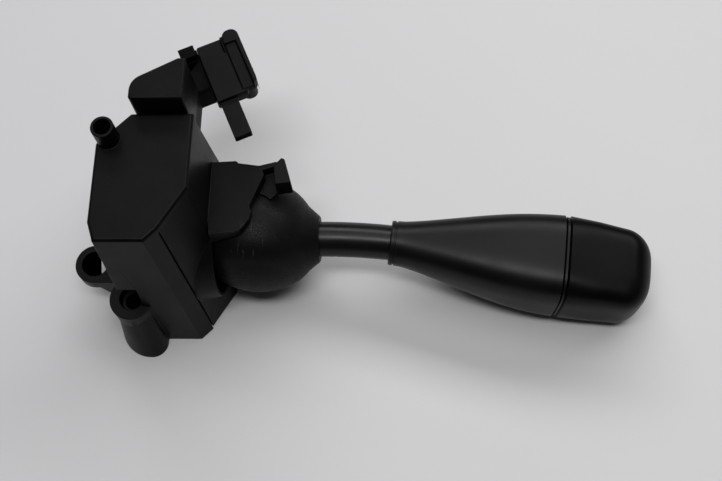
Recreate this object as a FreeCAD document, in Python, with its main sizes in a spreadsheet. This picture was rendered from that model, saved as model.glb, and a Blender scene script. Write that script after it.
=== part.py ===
import FreeCAD, Part
import math
import os
import re

import Sketcher
from FreeCAD import Vector

# Steering column adjustment switch, in millimetres, +Z up.
# The origin is the mouth of the lower screw bore on the base plane. The lever points along +X.
doc = FreeCAD.newDocument("column_switch")

# Driving dimensions
sizes = doc.addObject("Spreadsheet::Sheet", "Sizes")
DIMENSIONS = {
    # case shell: outline of the top plate, and how far each wall has moved out at the base
    "case_height": 54.0,
    "top_wall": 2.0,
    "wall": 2.0,
    "plate_left": -2.5,
    "plate_front": 1.8,
    "plate_right": 19.4,
    "plate_rear": 33.2,
    "front_left_step": 1.6,
    "front_left_run": 4.7,
    "front_right_x": 10.5,
    "front_right_cut": 2.9,
    "diagonal_angle": 58.6,
    "rear_left_cut": 7.5,
    "left_flare": 0.6,
    "side_flare": 3.7,
    "front_flare": 6.2,
    "rear_flare": 0.8,
    "rim_chamfer": 0.5,
    "fit_gap": 0.15,
    "seam_step": 0.5,
    "seam_gap": 0.45,
    # fixing points
    "screw_bore": 1.9,
    "pillar_height": 20.0,
    "pillar_left": 3.8,
    "pillar_right": 4.6,
    "pillar_front": 4.2,
    "foot_left": 6.6,
    "foot_right": 5.6,
    "foot_front": 9.4,
    "foot_corner": 8.0,
    "foot_side_corner": 4.0,
    "pillar_seam": 1.0,
    "pillar_corner": 3.2,
    "pillar_back": 3.0,
    "counterbore": 2.9,
    "counterbore_depth": 2.5,
    "access_radius": 3.6,
    "access_height": 12.0,
    "post_radius": 5.6,
    "tube_x": 0.4,
    "tube_y": 26.8,
    "tube_radius": 2.65,
    "tube_rise": 6.0,
    "ear_x": -11.6,
    "ear_y": 10.8,
    "ear_radius": 5.0,
    "ear_bore": 3.25,
    "ear_top": 15.0,
    "ear_thick": 4.0,
    "ear_rib": 1.6,
    # base cover
    "cover_thick": 2.0,
    "cover_gap": 0.2,
    "cover_lift": 0.1,
    "base_screw_radius": 1.0,
    "base_head_radius": 2.0,
    "base_head_height": 1.2,
    "base_screw_length": 4.0,
    "base_post_radius": 2.6,
    "base_post_height": 4.8,
    # lever pivot and ball cap
    "pivot_x": 30.0,
    "pivot_y": 17.0,
    "pivot_z": 16.3,
    "ball_radius": 15.2,
    "ball_wall": 1.2,
    "ball_rim": 9.7,
    "nose_reach": 15.6,
    "nose_radius": 5.6,
    "nose_boss": 3.7,
    "nose_taper": 33.0,
    "ball_gap": 0.5,
    # mouth of the carrier round the ball
    "mouth_face": 9.1,
    "mouth_floor": 12.0,
    "mouth_floor_thick": 2.2,
    "mouth_radius": 13.2,
    "collar_radius": 15.8,
    "collar_front_radius": 14.3,
    "throat_radius": 6.6,
    # gimbal
    "arm_low": 6.1,
    "arm_thick": 1.9,
    "arm_half_width": 2.5,
    "arm_tip": 3.5,
    "pin_radius": 1.5,
    "press_gap": 0.02,
    "running_gap": 0.05,
    "frame_half_length": 3.5,
    "frame_inner_height": 4.3,
    "frame_outer_height": 5.8,
    "frame_inner_width": 6.4,
    "frame_outer_width": 8.8,
    "hub_radius": 4.0,
    "hub_side_gap": 0.3,
    "neck_radius": 3.6,
    "neck_end": 11.5,
    "tang_radius": 2.5,
    "tang_start": 4.8,
    "tail_radius": 1.6,
    "bead_radius": 2.2,
    "tilt_space": 2.8,
    "tilt_arm": "=mouth_floor + mouth_floor_thick + tilt_space",
    "slider_step": 4.0,
    "reach_arm": "=tilt_arm + slider_step",
    "rod_pin_radius": 0.8,
    "rod_pin_at": 8.2,
    # rod and grip
    "rod_radius": 4.4,
    "rod_straight": 16.0,
    "rod_bend_radius": 156.0,
    "rod_bend": 7.2,
    "bend_roll": 40.0,
    "rod_tail": 30.0,
    "collar_end_radius": 5.6,
    "collar_lip": 2.5,
    "grip_length": 40.0,
    "grip_near": 12.3,
    "grip_far": 10.7,
    "grip_top": 10.3,
    "grip_under": 12.0,
    "grip_corner": 6.5,
    "grip_swell": 1.3,
    "ring_width": 0.9,
    "ring_inset": 0.6,
    "part_line": 0.05,
    "cap_straight": 14.6,
    "cap_round": 6.7,
    "cap_far_drop": 1.9,
    "cap_top_drop": 1.0,
    "cap_near_drop": 0.3,
    "cap_under_drop": 1.4,
    "grip_wall": 2.0,
    "grip_hollow": 20.0,
    "grip_hollow_half": 6.6,
    "hollow_corner": 3.5,
    "cap_hollow": 11.0,
    "spigot_length": 4.0,
    "boss_radius": 6.4,
    "washer_radius": 6.0,
    "washer_thick": 1.0,
    "grip_screw_radius": 1.5,
    "grip_screw_depth": 10.0,
    "grip_head_radius": 3.5,
    "grip_head_height": 2.2,
    # contact sliders and their guide, counted back from the pivot
    "slider_thick": 2.0,
    "slot_gap": 0.1,
    "slot_run": 2.9,
    "slider_gap": 0.3,
    "lip": 0.8,
    "reach_half_width": 6.1,
    "reach_half_height": 7.0,
    "tilt_half_width": 7.0,
    "tilt_half_height": 6.0,
    "rail_inner": 5.6,
    "rail_outer": 9.0,
    "rail_rise": 1.5,
    "guide_outer": 11.0,
    "board_space": 2.9,
    "guide_back": "=reach_arm + board_space",
    "guide_ear": 14.5,
    "guide_ear_thick": 1.4,
    "guide_screw_radius": 1.0,
    "guide_screw_at": 12.8,
    "guide_screw_depth": 1.8,
    "low_ear_across": 6.5,
    "low_ear_down": 11.6,
    "guide_head_radius": 1.6,
    "guide_head_height": 1.3,
    "leg_half_width": 3.0,
    "leg_low": 12.9,
    "leg_high": 15.9,
    "tab_half": 0.9,
    "wire_radius": 0.35,
    "reach_tab_end": 9.7,
    "reach_peg_at": 11.6,
    "loop_radius": 1.3,
    "peg_radius": 0.85,
    "tilt_tab_end": 6.4,
    "tilt_peg_at": 9.4,
    "board_thick": 1.6,
    "board_low": 11.0,
    "board_high": 18.5,
    "board_half_width": 12.0,
    "track_thick": 0.15,
    "track_width": 1.4,
    "reach_level": 6.1,
    "contact_thick": 0.3,
    # electrical path and the turned connector
    "turn": 23.5,
    "lead_count": 5.0,
    "lead_pitch": 1.5,
    "lead_width": 0.9,
    "lead_thick": 0.5,
    "lead_level": 40.0,
    "lead_first_x": 9.4,
    "lead_first_v": 41.0,
    "lead_first_y": 28.0,
    "blade_end": 42.6,
    "blade_start": 36.9,
    "body_left": 37.3,
    "body_right": 44.0,
    "body_front": 32.6,
    "hood_front": 27.6,
    "hood_thick": 2.2,
    "body_rear": 44.0,
    "body_low": 33.5,
    "body_high": 46.0,
    "flange_right": 48.0,
    "flange_front": 32.6,
    "flange_hood_front": 28.2,
    "flange_hood_thick": 3.2,
    "flange_rear": 44.6,
    "flange_low": 32.5,
    "flange_high": 47.0,
    "flange_corner": 1.8,
    "socket_wall": 1.8,
    "socket_depth": 9.0,
    "step_at": 39.6,
    "step_depth": 0.8,
    "tongue_left": 37.8,
    "tongue_right": 42.1,
    "tongue_end": 17.6,
    "tongue_high": 44.8,
    "tongue_thick": 2.2,
    "arm_base": 36.0,
    "arm_top": 43.0,
    "lid_thick": 1.0,
    "channel_floor": 38.4,
    "channel_left": 8.2,
    "channel_right": 16.3,
    "tab_v": 44.4,
    "tab_u": 33.0,
    "tab_rise": 2.5,
    # raised block over the leads
    "block_left": 5.5,
    "block_right": 18.0,
    "block_rear": 44.2,
    "block_left_rear": 38.6,
    "block_corner": 4.0,
    "block_rise": 6.0,
    "block_top": "=case_height + block_rise",
    "block_wall": 1.6,
    # guide plate and fin over the ball
    "guide_plate_top": 33.8,
    "guide_plate_low": 26.0,
    "shelf_top": 30.6,
    "fin_top": 35.2,
}
for row, (name, value) in enumerate(DIMENSIONS.items(), start=1):
    sizes.set(f"A{row}", name)
    sizes.set(f"B{row}", str(value))
    sizes.setAlias(f"B{row}", name)
doc.recompute()


# Sizes in expressions
def bound(text):
    """The expression with each size's name turned into its cell."""
    return re.sub(r"[a-z_]+", lambda word: "Sizes." * (word.group() in DIMENSIONS) + word.group(), text)


def number(text):
    """The present value of an expression."""
    return float(sizes.evalExpression(bound(text)))


# Sub-parts and their placement
NODES = []


def new_body(label):
    """A new solid piece; its label names its file."""
    body = doc.addObject("PartDesign::Body", label)
    body.Label = label
    NODES.append(body)
    return body


def place(thing, x="0", y="0", z="0", axis=("0", "0", "1"), angle="0"):
    """Puts an object at a point, turned about an axis, all bound to the sizes."""
    along = "; ".join(bound(part) for part in (x, y, z))
    about = "; ".join(bound(part) for part in axis)
    text = f"placement(vector({along}); rotation(vector({about}); {bound(angle)}))"
    thing.setExpression("Placement", text)


def at_pivot(body):
    """Models a piece about the lever's pivot."""
    place(body, "pivot_x", "pivot_y", "pivot_z")


# Sketches
def sketch(body, name, plane, height="0"):
    """An empty sketch on one of the body's own planes, moved along its normal."""
    flat = body.newObject("Sketcher::SketchObject", name)
    planes = {feature.Role: feature for feature in body.Origin.OriginFeatures}
    flat.AttachmentSupport = [(planes[plane], "")]
    flat.MapMode = "FlatFace"
    flat.setExpression("AttachmentOffset.Base.z", bound(height))
    return flat


def hold(flat, kind, targets, text):
    """One driving constraint bound to an expression."""
    row = flat.addConstraint(Sketcher.Constraint(kind, *targets, number(text)))
    flat.setExpression(f"Constraints[{row}]", bound(text))


def pin(flat, edge, end, across, up):
    """Fixes one end or centre of an edge at a point of the sketch."""
    hold(flat, "DistanceX", (-1, 1, edge, end), across)
    hold(flat, "DistanceY", (-1, 1, edge, end), up)


def circle(flat, across, up, radius):
    centre = Vector(number(across), number(up), 0)
    edge = flat.addGeometry(Part.Circle(centre, Vector(0, 0, 1), number(radius)))
    pin(flat, edge, 3, across, up)
    hold(flat, "Radius", (edge,), radius)


def outline(flat, corners):
    """A closed outline of straight lines through the corners, each an (across, up) pair."""
    spots = [Vector(number(across), number(up), 0) for across, up in corners]
    first = flat.GeometryCount
    for start, end in zip(spots, spots[1:] + spots[:1]):
        flat.addGeometry(Part.LineSegment(start, end))
    for step, (across, up) in enumerate(corners):
        following = (step + 1) % len(corners)
        flat.addConstraint(Sketcher.Constraint("Coincident", first + step, 2, first + following, 1))
        pin(flat, first + step, 1, across, up)


def rounded(flat, corners, radii):
    """A closed outline whose corners are rounded; each corner has its own radius."""
    spots = [Vector(number(across), number(up), 0) for across, up in corners]
    count = len(spots)
    joints = []
    for step, spot in enumerate(spots):
        back = (spots[step - 1] - spot).normalize()
        ahead = (spots[(step + 1) % count] - spot).normalize()
        half = back.getAngle(ahead) / 2
        radius = number(radii[step])
        run = radius / math.tan(half)
        middle = spot + (back + ahead).normalize() * (radius / math.sin(half))
        joints.append((spot + back * run, middle, spot + ahead * run))
    lines = [
        flat.addGeometry(Part.LineSegment(joints[step][2],
                                          joints[(step + 1) % count][0])) for step in range(count)
    ]
    marks = [flat.addGeometry(Part.Point(spot), True) for spot in spots]
    for step, (across, up) in enumerate(corners):
        pin(flat, marks[step], 1, across, up)
        flat.addConstraint(Sketcher.Constraint("PointOnObject", marks[step], 1, lines[step]))
        flat.addConstraint(Sketcher.Constraint("PointOnObject", marks[step], 1, lines[step - 1]))
    for step, (start, middle, end) in enumerate(joints):
        side = (start - middle).cross(end - middle).z
        low, high = (start, end) if side > 0 else (end, start)
        radius = number(radii[step])
        ring = Part.Circle(middle, Vector(0, 0, 1), radius)
        arc = flat.addGeometry(Part.ArcOfCircle(ring, ring.parameter(low), ring.parameter(high)))
        ends = (1, 2) if side > 0 else (2, 1)
        flat.addConstraint(Sketcher.Constraint("Tangent", lines[step - 1], 2, arc, ends[0]))
        flat.addConstraint(Sketcher.Constraint("Tangent", arc, ends[1], lines[step], 1))
        hold(flat, "Radius", (arc,), radii[step])


def box_corners(left, right, low, high):
    """Corners of an upright rectangle, in order."""
    return [(left, low), (right, low), (right, high), (left, high)]


# Features
def pad(body, name, flat, length, back=False, both=False):
    solid = body.newObject("PartDesign::Pad", name)
    solid.Profile = flat
    solid.setExpression("Length", bound(length))
    solid.Reversed = back
    solid.Midplane = both
    return solid


def pocket(body, name, flat, length, ahead=False, both=False):
    """Cuts against the sketch's normal, or ahead along it."""
    cut = body.newObject("PartDesign::Pocket", name)
    cut.Profile = flat
    cut.setExpression("Length", bound(length))
    cut.Reversed = ahead
    cut.Midplane = both
    return cut


def loft(body, name, flats, cut=False, ruled=False):
    kind = "PartDesign::SubtractiveLoft" if cut else "PartDesign::AdditiveLoft"
    solid = body.newObject(kind, name)
    solid.Profile = flats[0]
    solid.Sections = flats[1:]
    solid.Ruled = ruled
    return solid


def revolve(body, name, flat):
    """Turns the sketch once round its horizontal axis."""
    solid = body.newObject("PartDesign::Revolution", name)
    solid.Profile = flat
    solid.ReferenceAxis = (flat, ["H_Axis"])
    solid.Angle = 360
    return solid


def block(body, name, x, y, z, cut=False):
    """A block between two bounds on each axis, added to the body or cut from it."""
    solid = body.newObject("PartDesign::SubtractiveBox" if cut else "PartDesign::AdditiveBox", name)
    for side, (low, high) in zip(("Length", "Width", "Height"), (x, y, z)):
        solid.setExpression(side, bound(f"({high}) - ({low})"))
    place(solid, x[0], y[0], z[0])
    return solid


ALONG = {"X": ("0", "1", "0"), "Y": ("-1", "0", "0"), "Z": ("0", "0", "1")}


def barrel(body, name, axis, start, radius, length, cut=False):
    """A cylinder that starts at a point and runs along +X, +Y or +Z."""
    solid = body.newObject("PartDesign::SubtractiveCylinder" if cut else "PartDesign::AdditiveCylinder",
                           name)
    solid.setExpression("Radius", bound(radius))
    solid.setExpression("Height", bound(length))
    place(solid, *start, ALONG[axis], "0" if axis == "Z" else "90")
    return solid


def cone(body, name, start, radius, end_radius, length):
    """A cone frustum along +X, added to the body."""
    solid = body.newObject("PartDesign::AdditiveCone", name)
    solid.setExpression("Radius1", bound(radius))
    solid.setExpression("Radius2", bound(end_radius))
    solid.setExpression("Height", bound(length))
    place(solid, *start, ALONG["X"], "90")
    return solid


def ball(body, name, centre, radius, cut=False):
    solid = body.newObject("PartDesign::SubtractiveSphere" if cut else "PartDesign::AdditiveSphere", name)
    solid.setExpression("Radius", bound(radius))
    place(solid, *centre, ALONG["X"], "90")
    return solid


def group(label, parts):
    """Like pieces that share one node as separate solids."""
    together = doc.addObject("Part::MultiFuse", label)
    together.Label = label
    together.Shapes = parts
    NODES.append(together)
    return together


def plain_cylinder(name, axis, start, radius, length):
    solid = doc.addObject("Part::Cylinder", name)
    solid.setExpression("Radius", bound(radius))
    solid.setExpression("Height", bound(length))
    place(solid, *start, ALONG[axis], "0" if axis == "Z" else "90")
    return solid


def plain_box(name, x, y, z):
    solid = doc.addObject("Part::Box", name)
    for side, (low, high) in zip(("Length", "Width", "Height"), (x, y, z)):
        solid.setExpression(side, bound(f"({high}) - ({low})"))
    place(solid, x[0], y[0], z[0])
    return solid


# The case outline at any level, 0 at the top plate and 1 at the base
SEAM_X = "(front_right_x + front_right_cut)"
SEAM_Y = "(plate_front + front_right_cut)"


def level_of(z):
    return f"((case_height - ({z})) / case_height)"


def left(x, z):
    return f"{x} - left_flare * {level_of(z)}"


def right(x, z):
    return f"{x} + side_flare * {level_of(z)}"


def front(y, z):
    return f"{y} - front_flare * {level_of(z)}"


def rear(y, z):
    return f"{y} + rear_flare * {level_of(z)}"


def seam_point(along, depth, z):
    """A point of the diagonal wall: along it from the seam, and in from its outer face."""
    across = f"{SEAM_X} + ({along}) * cos(diagonal_angle) - ({depth}) * sin(diagonal_angle)"
    up = f"{SEAM_Y} + ({along}) * sin(diagonal_angle) + ({depth}) * cos(diagonal_angle)"
    return right(across, z), front(up, z)


def diagonal_corner(depth, z):
    """Where the diagonal wall meets the right-hand wall, both set in by a depth."""
    x = f"plate_right - ({depth})"
    run = f"({x} - {SEAM_X} + ({depth}) * sin(diagonal_angle)) * tan(diagonal_angle)"
    return right(x, z), front(f"{SEAM_Y} + ({depth}) * cos(diagonal_angle) + {run}", z)


def case_outline(z):
    return [
        (left("plate_left + front_left_step", z), front("plate_front", z)),
        (right("front_right_x", z), front("plate_front", z)),
        seam_point("0", "0", z),
        diagonal_corner("0", z),
        (right("plate_right", z), rear("plate_rear", z)),
        (left("plate_left + rear_left_cut", z), rear("plate_rear", z)),
        (left("plate_left", z), rear("plate_rear - rear_left_cut", z)),
        (left("plate_left", z), front("plate_front + front_left_run", z)),
    ]


def cavity_outline(z):
    """Inside of the case; it runs out through the open right-hand side."""
    open_side = "plate_right + 2 * side_flare"
    return [
        (left("plate_left + wall", z), front("plate_front + wall", z)),
        (right("front_right_x - wall * 0.4", z), front("plate_front + wall", z)),
        seam_point("0", "wall", z),
        seam_point("0", "-wall", z),
        (open_side, seam_point("0", "-wall", z)[1]),
        (open_side, rear("plate_rear - wall", z)),
        (left("plate_left + rear_left_cut + wall * 0.4", z), rear("plate_rear - wall", z)),
        (left("plate_left + wall", z), rear("plate_rear - rear_left_cut - wall * 0.4", z)),
    ]


# Main case: tapered shell with the flat top plate, the front and left walls, the screw pillar and the ear
case = new_body("main_case")
base_flat = sketch(case, "case_base", "XY_Plane")
outline(base_flat, case_outline("0"))
top_flat = sketch(case, "case_top", "XY_Plane", "case_height")
outline(top_flat, case_outline("case_height"))
loft(case, "case_walls", [base_flat, top_flat], ruled=True)
cavity_low = sketch(case, "cavity_low", "XY_Plane")
outline(cavity_low, cavity_outline("0"))
cavity_high = sketch(case, "cavity_high", "XY_Plane", "case_height - top_wall")
outline(cavity_high, cavity_outline("case_height - top_wall"))
hollow_case = loft(case, "case_cavity", [cavity_low, cavity_high], cut=True, ruled=True)
doc.recompute()
rim_edges = [
    f"Edge{index}"
    for index, edge in enumerate(hollow_case.Shape.Edges, start=1)
    if edge.BoundBox.ZMin > number("case_height") - 0.01
]
rim = case.newObject("PartDesign::Chamfer", "plate_rim")
rim.Base = (hollow_case, rim_edges)
rim.setExpression("Size", bound("rim_chamfer"))

# Pillar: a tapered foot that stands in front of the case
foot = sketch(case, "foot", "XY_Plane")
foot_sides = box_corners("-foot_left", "foot_right", "-foot_front", "pillar_back")
rounded(foot, foot_sides, ["foot_corner", "foot_side_corner", "pillar_seam", "pillar_seam"])
pillar_head = sketch(case, "pillar_head", "XY_Plane", "pillar_height")
head_sides = box_corners("-pillar_left", "pillar_right", "-pillar_front", "pillar_back")
rounded(pillar_head, head_sides, ["pillar_corner", "pillar_corner", "pillar_seam", "pillar_seam"])
loft(case, "pillar", [foot, pillar_head])
barrel(case, "inner_post", "Z", ("0", "0", "0"), "post_radius * 0.98", "pillar_height + access_height")


def outside_corner(z):
    """Everything in front of and to the left of the case's front left corner."""
    west, east, south, north = "-post_radius - 1", "post_radius + 1", "-post_radius - 1", "post_radius + 2"
    return [
        (west, south), (east, south), (east, front("plate_front", z)),
        (left("plate_left + front_left_step", z), front("plate_front", z)),
        (left("plate_left", z), front("plate_front + front_left_run", z)), (left("plate_left", z), north),
        (west, north),
    ]


POST_TOP = "(pillar_height + access_height)"
trim_low = sketch(case, "post_trim_low", "XY_Plane", "pillar_height")
outline(trim_low, outside_corner("pillar_height"))
trim_high = sketch(case, "post_trim_high", "XY_Plane", POST_TOP)
outline(trim_high, outside_corner(POST_TOP))
loft(case, "post_flush", [trim_low, trim_high], cut=True, ruled=True)
barrel(case, "driver_access", "Z", ("0", "0", "pillar_height"), "access_radius", "access_height - 3",
       cut=True)
barrel(case, "lower_bore", "Z", ("0", "0", "-1"), "screw_bore", "pillar_height + 2", cut=True)
barrel(case, "lower_recess", "Z", ("0", "0", "pillar_height - counterbore_depth"), "counterbore", "10",
       cut=True)

# Upper screw tube on the rear left corner
barrel(case, "upper_tube", "Z", ("tube_x", "tube_y", "0"), "tube_radius", "case_height + tube_rise")
barrel(case, "upper_bore", "Z", ("tube_x", "tube_y", "-1"), "screw_bore", "case_height + tube_rise + 2",
       cut=True)

# Fixing ear with a gusset under its front edge
ear = sketch(case, "ear_outline", "XY_Plane", "ear_top")
ear_inner = "plate_left + wall / 2"
ear_sides = box_corners("ear_x - ear_radius", ear_inner, "ear_y - ear_radius", "ear_y + ear_radius")
ear_round = "ear_radius * 0.99"
rounded(ear, ear_sides, [ear_round, "0.3", "0.3", ear_round])
pad(case, "ear", ear, "ear_thick", back=True)
gusset = sketch(case, "gusset_side", "XZ_Plane", "-(ear_y - ear_radius)")
outline(gusset, [("ear_x", "ear_top - ear_thick / 2"), ("-foot_left", "1"), (ear_inner, "1"),
                 (ear_inner, "ear_top - ear_thick / 2")])
pad(case, "gusset", gusset, "ear_rib", back=True)
barrel(case, "ear_hole", "Z", ("ear_x", "ear_y", "0"), "ear_bore", "case_height", cut=True)

# The rear wall stops short of the carrier's wall


def rear_end(z):
    """The end of the rear wall that gives way to the carrier's wall."""
    inner = right("plate_right - seam_step - wall - fit_gap", z)
    outer = right("plate_right + wall", z)
    return box_corners(inner, outer, rear("plate_rear - wall - 1", z), rear("plate_rear + 1", z))


end_low = sketch(case, "rear_end_low", "XY_Plane", "-1")
outline(end_low, rear_end("-1"))
end_high = sketch(case, "rear_end_high", "XY_Plane", "case_height - top_wall")
outline(end_high, rear_end("case_height - top_wall"))
loft(case, "rear_wall_end", [end_low, end_high], cut=True, ruled=True)

# Window in the rear wall for the leads
block(case, "lead_window", ("channel_left", "channel_right"),
      ("plate_rear - wall - 1", "plate_rear + rear_flare + 1"),
      ("channel_floor", "arm_top"), cut=True)

# Round notch in the rear wall's edge for the ball's collar
COLLAR_BACK = "(pivot_x - mouth_floor - mouth_floor_thick)"
barrel(case, "collar_notch", "X", (f"{COLLAR_BACK} - fit_gap", "pivot_y", "pivot_z"),
       "collar_radius + fit_gap",
       "2 * mouth_floor", cut=True)

# Posts for the base screws: left, front, rear
POSTS = [("1.2", "19.0"), ("9.5", "0.8"), ("12.9", "29.6")]
for index, (x, y) in enumerate(POSTS, start=1):
    barrel(case, f"base_post_{index}", "Z", (x, y, "cover_thick + cover_lift"), "base_post_radius",
           "base_post_height")
    barrel(case, f"base_pilot_{index}", "Z", (x, y, "cover_thick"), "base_screw_radius",
           "base_screw_length",
           cut=True)

# Base cover: closes the case from below inside its walls
cover = new_body("base_cover")
cover_flat = sketch(cover, "cover_outline", "XY_Plane")
CLEAR = "(wall + cover_gap)"
LID_LEVEL = "cover_thick"
CLEAR_RIGHT = f"({CLEAR} + seam_step)"
outline(cover_flat, [
    ("post_radius + cover_gap", front(f"plate_front + {CLEAR}", LID_LEVEL)),
    (right(f"front_right_x - {CLEAR_RIGHT} * 0.4", LID_LEVEL), front(f"plate_front + {CLEAR}", LID_LEVEL)),
    seam_point("0", CLEAR_RIGHT, LID_LEVEL),
    diagonal_corner(CLEAR_RIGHT, LID_LEVEL),
    (right(f"plate_right - {CLEAR_RIGHT}", LID_LEVEL), rear(f"plate_rear - {CLEAR}", LID_LEVEL)),
    (left(f"plate_left + rear_left_cut + {CLEAR}", LID_LEVEL), rear(f"plate_rear - {CLEAR}", LID_LEVEL)),
    ("tube_x + tube_radius + cover_gap", rear(f"plate_rear - rear_left_cut - {CLEAR}", LID_LEVEL)),
    ("tube_x + tube_radius + cover_gap", "tube_y - tube_radius - cover_gap"),
    (left(f"plate_left + {CLEAR}", LID_LEVEL), "tube_y - tube_radius - cover_gap"),
    (left(f"plate_left + {CLEAR}", LID_LEVEL), "post_radius + cover_gap"),
    ("post_radius + cover_gap", "post_radius + cover_gap"),
])
pad(cover, "cover_plate", cover_flat, "cover_thick")
barrel(cover, "cover_notch", "X", (f"{COLLAR_BACK} - cover_gap", "pivot_y", "pivot_z"),
       "collar_radius + cover_gap",
       "2 * mouth_floor", cut=True)
for index, (x, y) in enumerate(POSTS, start=1):
    barrel(cover, f"cover_hole_{index}", "Z", (x, y, "-1"), "base_screw_radius + 0.2", "cover_thick + 2",
           cut=True)
    barrel(cover, f"cover_sink_{index}", "Z", (x, y, "-1"), "base_head_radius + 0.2",
           "base_head_height + 1.1",
           cut=True)

base_screw_parts = []
for index, (x, y) in enumerate(POSTS, start=1):
    head = plain_cylinder(f"base_head_{index}", "Z", (x, y, "0.1"), "base_head_radius", "base_head_height")
    shank = plain_cylinder(f"base_shank_{index}", "Z", (x, y, "0.1"), "base_screw_radius - press_gap",
                           "base_screw_length + cover_thick - 0.6")
    base_screw_parts += [head, shank]
group("base_screws", base_screw_parts)

# Lever carrier: diagonal and right-hand wall, the collar and yoke of the ball, and the guide plate above it
carrier = new_body("lever_carrier")


def carrier_outline(z):
    return [
        seam_point("seam_gap", "seam_step", z),
        diagonal_corner("seam_step", z),
        (right("plate_right - seam_step", z), rear("plate_rear", z)),
        (right("plate_right - seam_step - wall", z), rear("plate_rear", z)),
        diagonal_corner("seam_step + wall", z),
        seam_point("seam_gap", "seam_step + wall", z),
    ]


wall_low = sketch(carrier, "wall_low", "XY_Plane")
outline(wall_low, carrier_outline("0"))
wall_high = sketch(carrier, "wall_high", "XY_Plane", "case_height - top_wall - fit_gap")
outline(wall_high, carrier_outline("case_height - top_wall - fit_gap"))
loft(carrier, "carrier_wall", [wall_low, wall_high], ruled=True)

# Guide plate over the ball, the lower shelf beside it and the upright fin
plate_flat = sketch(carrier, "guide_plate_outline", "XY_Plane", "guide_plate_top")
outline(plate_flat, [
    ("pivot_x - 11", "pivot_y + 13.2"), ("pivot_x - 9.4", "pivot_y - 5.6"),
    ("pivot_x - 3.3", "pivot_y - 5.1"),
    ("pivot_x - 1.9", "pivot_y - 4.6"), ("pivot_x + 0.3", "pivot_y - 1.8"),
    ("pivot_x + 0.7", "pivot_y + 0.3"),
    ("pivot_x + 0.1", "pivot_y + 1.6"), ("pivot_x + 3.3", "pivot_y + 9.9"),
    ("pivot_x + 1.9", "pivot_y + 12.3"),
    ("pivot_x - 3.2", "pivot_y + 13.0"), ("pivot_x - 3.7", "pivot_y + 13.6"),
])
pad(carrier, "guide_plate", plate_flat, "guide_plate_top - guide_plate_low", back=True)
shelf_flat = sketch(carrier, "shelf_outline", "XY_Plane", "shelf_top")
outline(shelf_flat, [
    ("pivot_x - 2", "pivot_y + 3"), ("pivot_x + 1.5", "pivot_y + 1.2"), ("pivot_x + 6.4", "pivot_y + 6.6"),
    ("pivot_x + 7.2", "pivot_y + 11.6"), ("pivot_x + 5.4", "pivot_y + 13.4"),
    ("pivot_x - 2", "pivot_y + 13"),
])
pad(carrier, "shelf", shelf_flat, "shelf_top - guide_plate_low + 4", back=True)
fin_flat = sketch(carrier, "fin_outline", "XY_Plane", "fin_top")
outline(fin_flat, [
    ("pivot_x + 7.4", "pivot_y + 13.7"), ("pivot_x + 5.6", "pivot_y + 11.6"),
    ("pivot_x + 6.2", "pivot_y + 6.8"),
    ("pivot_x + 10.0", "pivot_y + 7.3"), ("pivot_x + 8.2", "pivot_y + 13.4"),
])
pad(carrier, "fin", fin_flat, "fin_top - shelf_top + 2", back=True)
bridge_flat = sketch(carrier, "bridge_outline", "XY_Plane", "guide_plate_top")
outline(bridge_flat, [
    ("pivot_x + 1.9", "pivot_y + 12.3"), ("pivot_x + 2.4", "pivot_y + 10.9"),
    ("pivot_x + 6.4", "pivot_y + 12.2"),
    ("pivot_x + 6.2", "pivot_y + 13.4"),
])
pad(carrier, "fin_bridge", bridge_flat, "guide_plate_top - shelf_top + 1", back=True)
ball(carrier, "ball_clearance", ("pivot_x", "pivot_y", "pivot_z"), "ball_radius + ball_gap", cut=True)

# Collar round the ball with its floor and throat
cone(carrier, "collar", (COLLAR_BACK, "pivot_y", "pivot_z"), "collar_radius", "collar_front_radius",
     "mouth_floor + mouth_floor_thick - mouth_face")
barrel(carrier, "mouth", "X", ("pivot_x - mouth_floor", "pivot_y", "pivot_z"), "mouth_radius",
       "ball_radius", cut=True)
barrel(carrier, "throat", "X", ("pivot_x - 3 * mouth_floor", "pivot_y", "pivot_z"), "throat_radius",
       "3 * mouth_floor", cut=True)

# Two yoke arms with bores for the upright pins
for side, low in (("upper", "pivot_z + arm_low"), ("lower", "pivot_z - arm_low - arm_thick")):
    block(carrier, f"{side}_arm", ("pivot_x - mouth_floor - mouth_floor_thick / 2", "pivot_x + arm_tip"),
          ("pivot_y - arm_half_width", "pivot_y + arm_half_width"), (low, f"{low} + arm_thick"))
barrel(carrier, "pin_bores", "Z", ("pivot_x", "pivot_y", "pivot_z - arm_low - arm_thick - 1"),
       "pin_radius + press_gap", "2 * arm_low + 2 * arm_thick + 2", cut=True)
GUIDE_SCREWS = [("guide_screw_at", "0"), ("-low_ear_across", "-low_ear_down")]
for index, (across, up) in enumerate(GUIDE_SCREWS, start=1):
    barrel(carrier, f"guide_pilot_{index}", "X",
           (f"{COLLAR_BACK} - 1", f"pivot_y + {across}", f"pivot_z + {up}"),
           "guide_screw_radius", "guide_screw_depth + 1", cut=True)

PIN_LENGTH = "arm_low + arm_thick - hub_radius - hub_side_gap"
pins = [
    plain_cylinder("upper_pin", "Z", ("pivot_x", "pivot_y", "pivot_z + hub_radius + hub_side_gap"),
                   "pin_radius",
                   PIN_LENGTH),
    plain_cylinder("lower_pin", "Z", ("pivot_x", "pivot_y", "pivot_z - arm_low - arm_thick"), "pin_radius",
                   PIN_LENGTH),
]
group("cradle_pins", pins)

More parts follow.
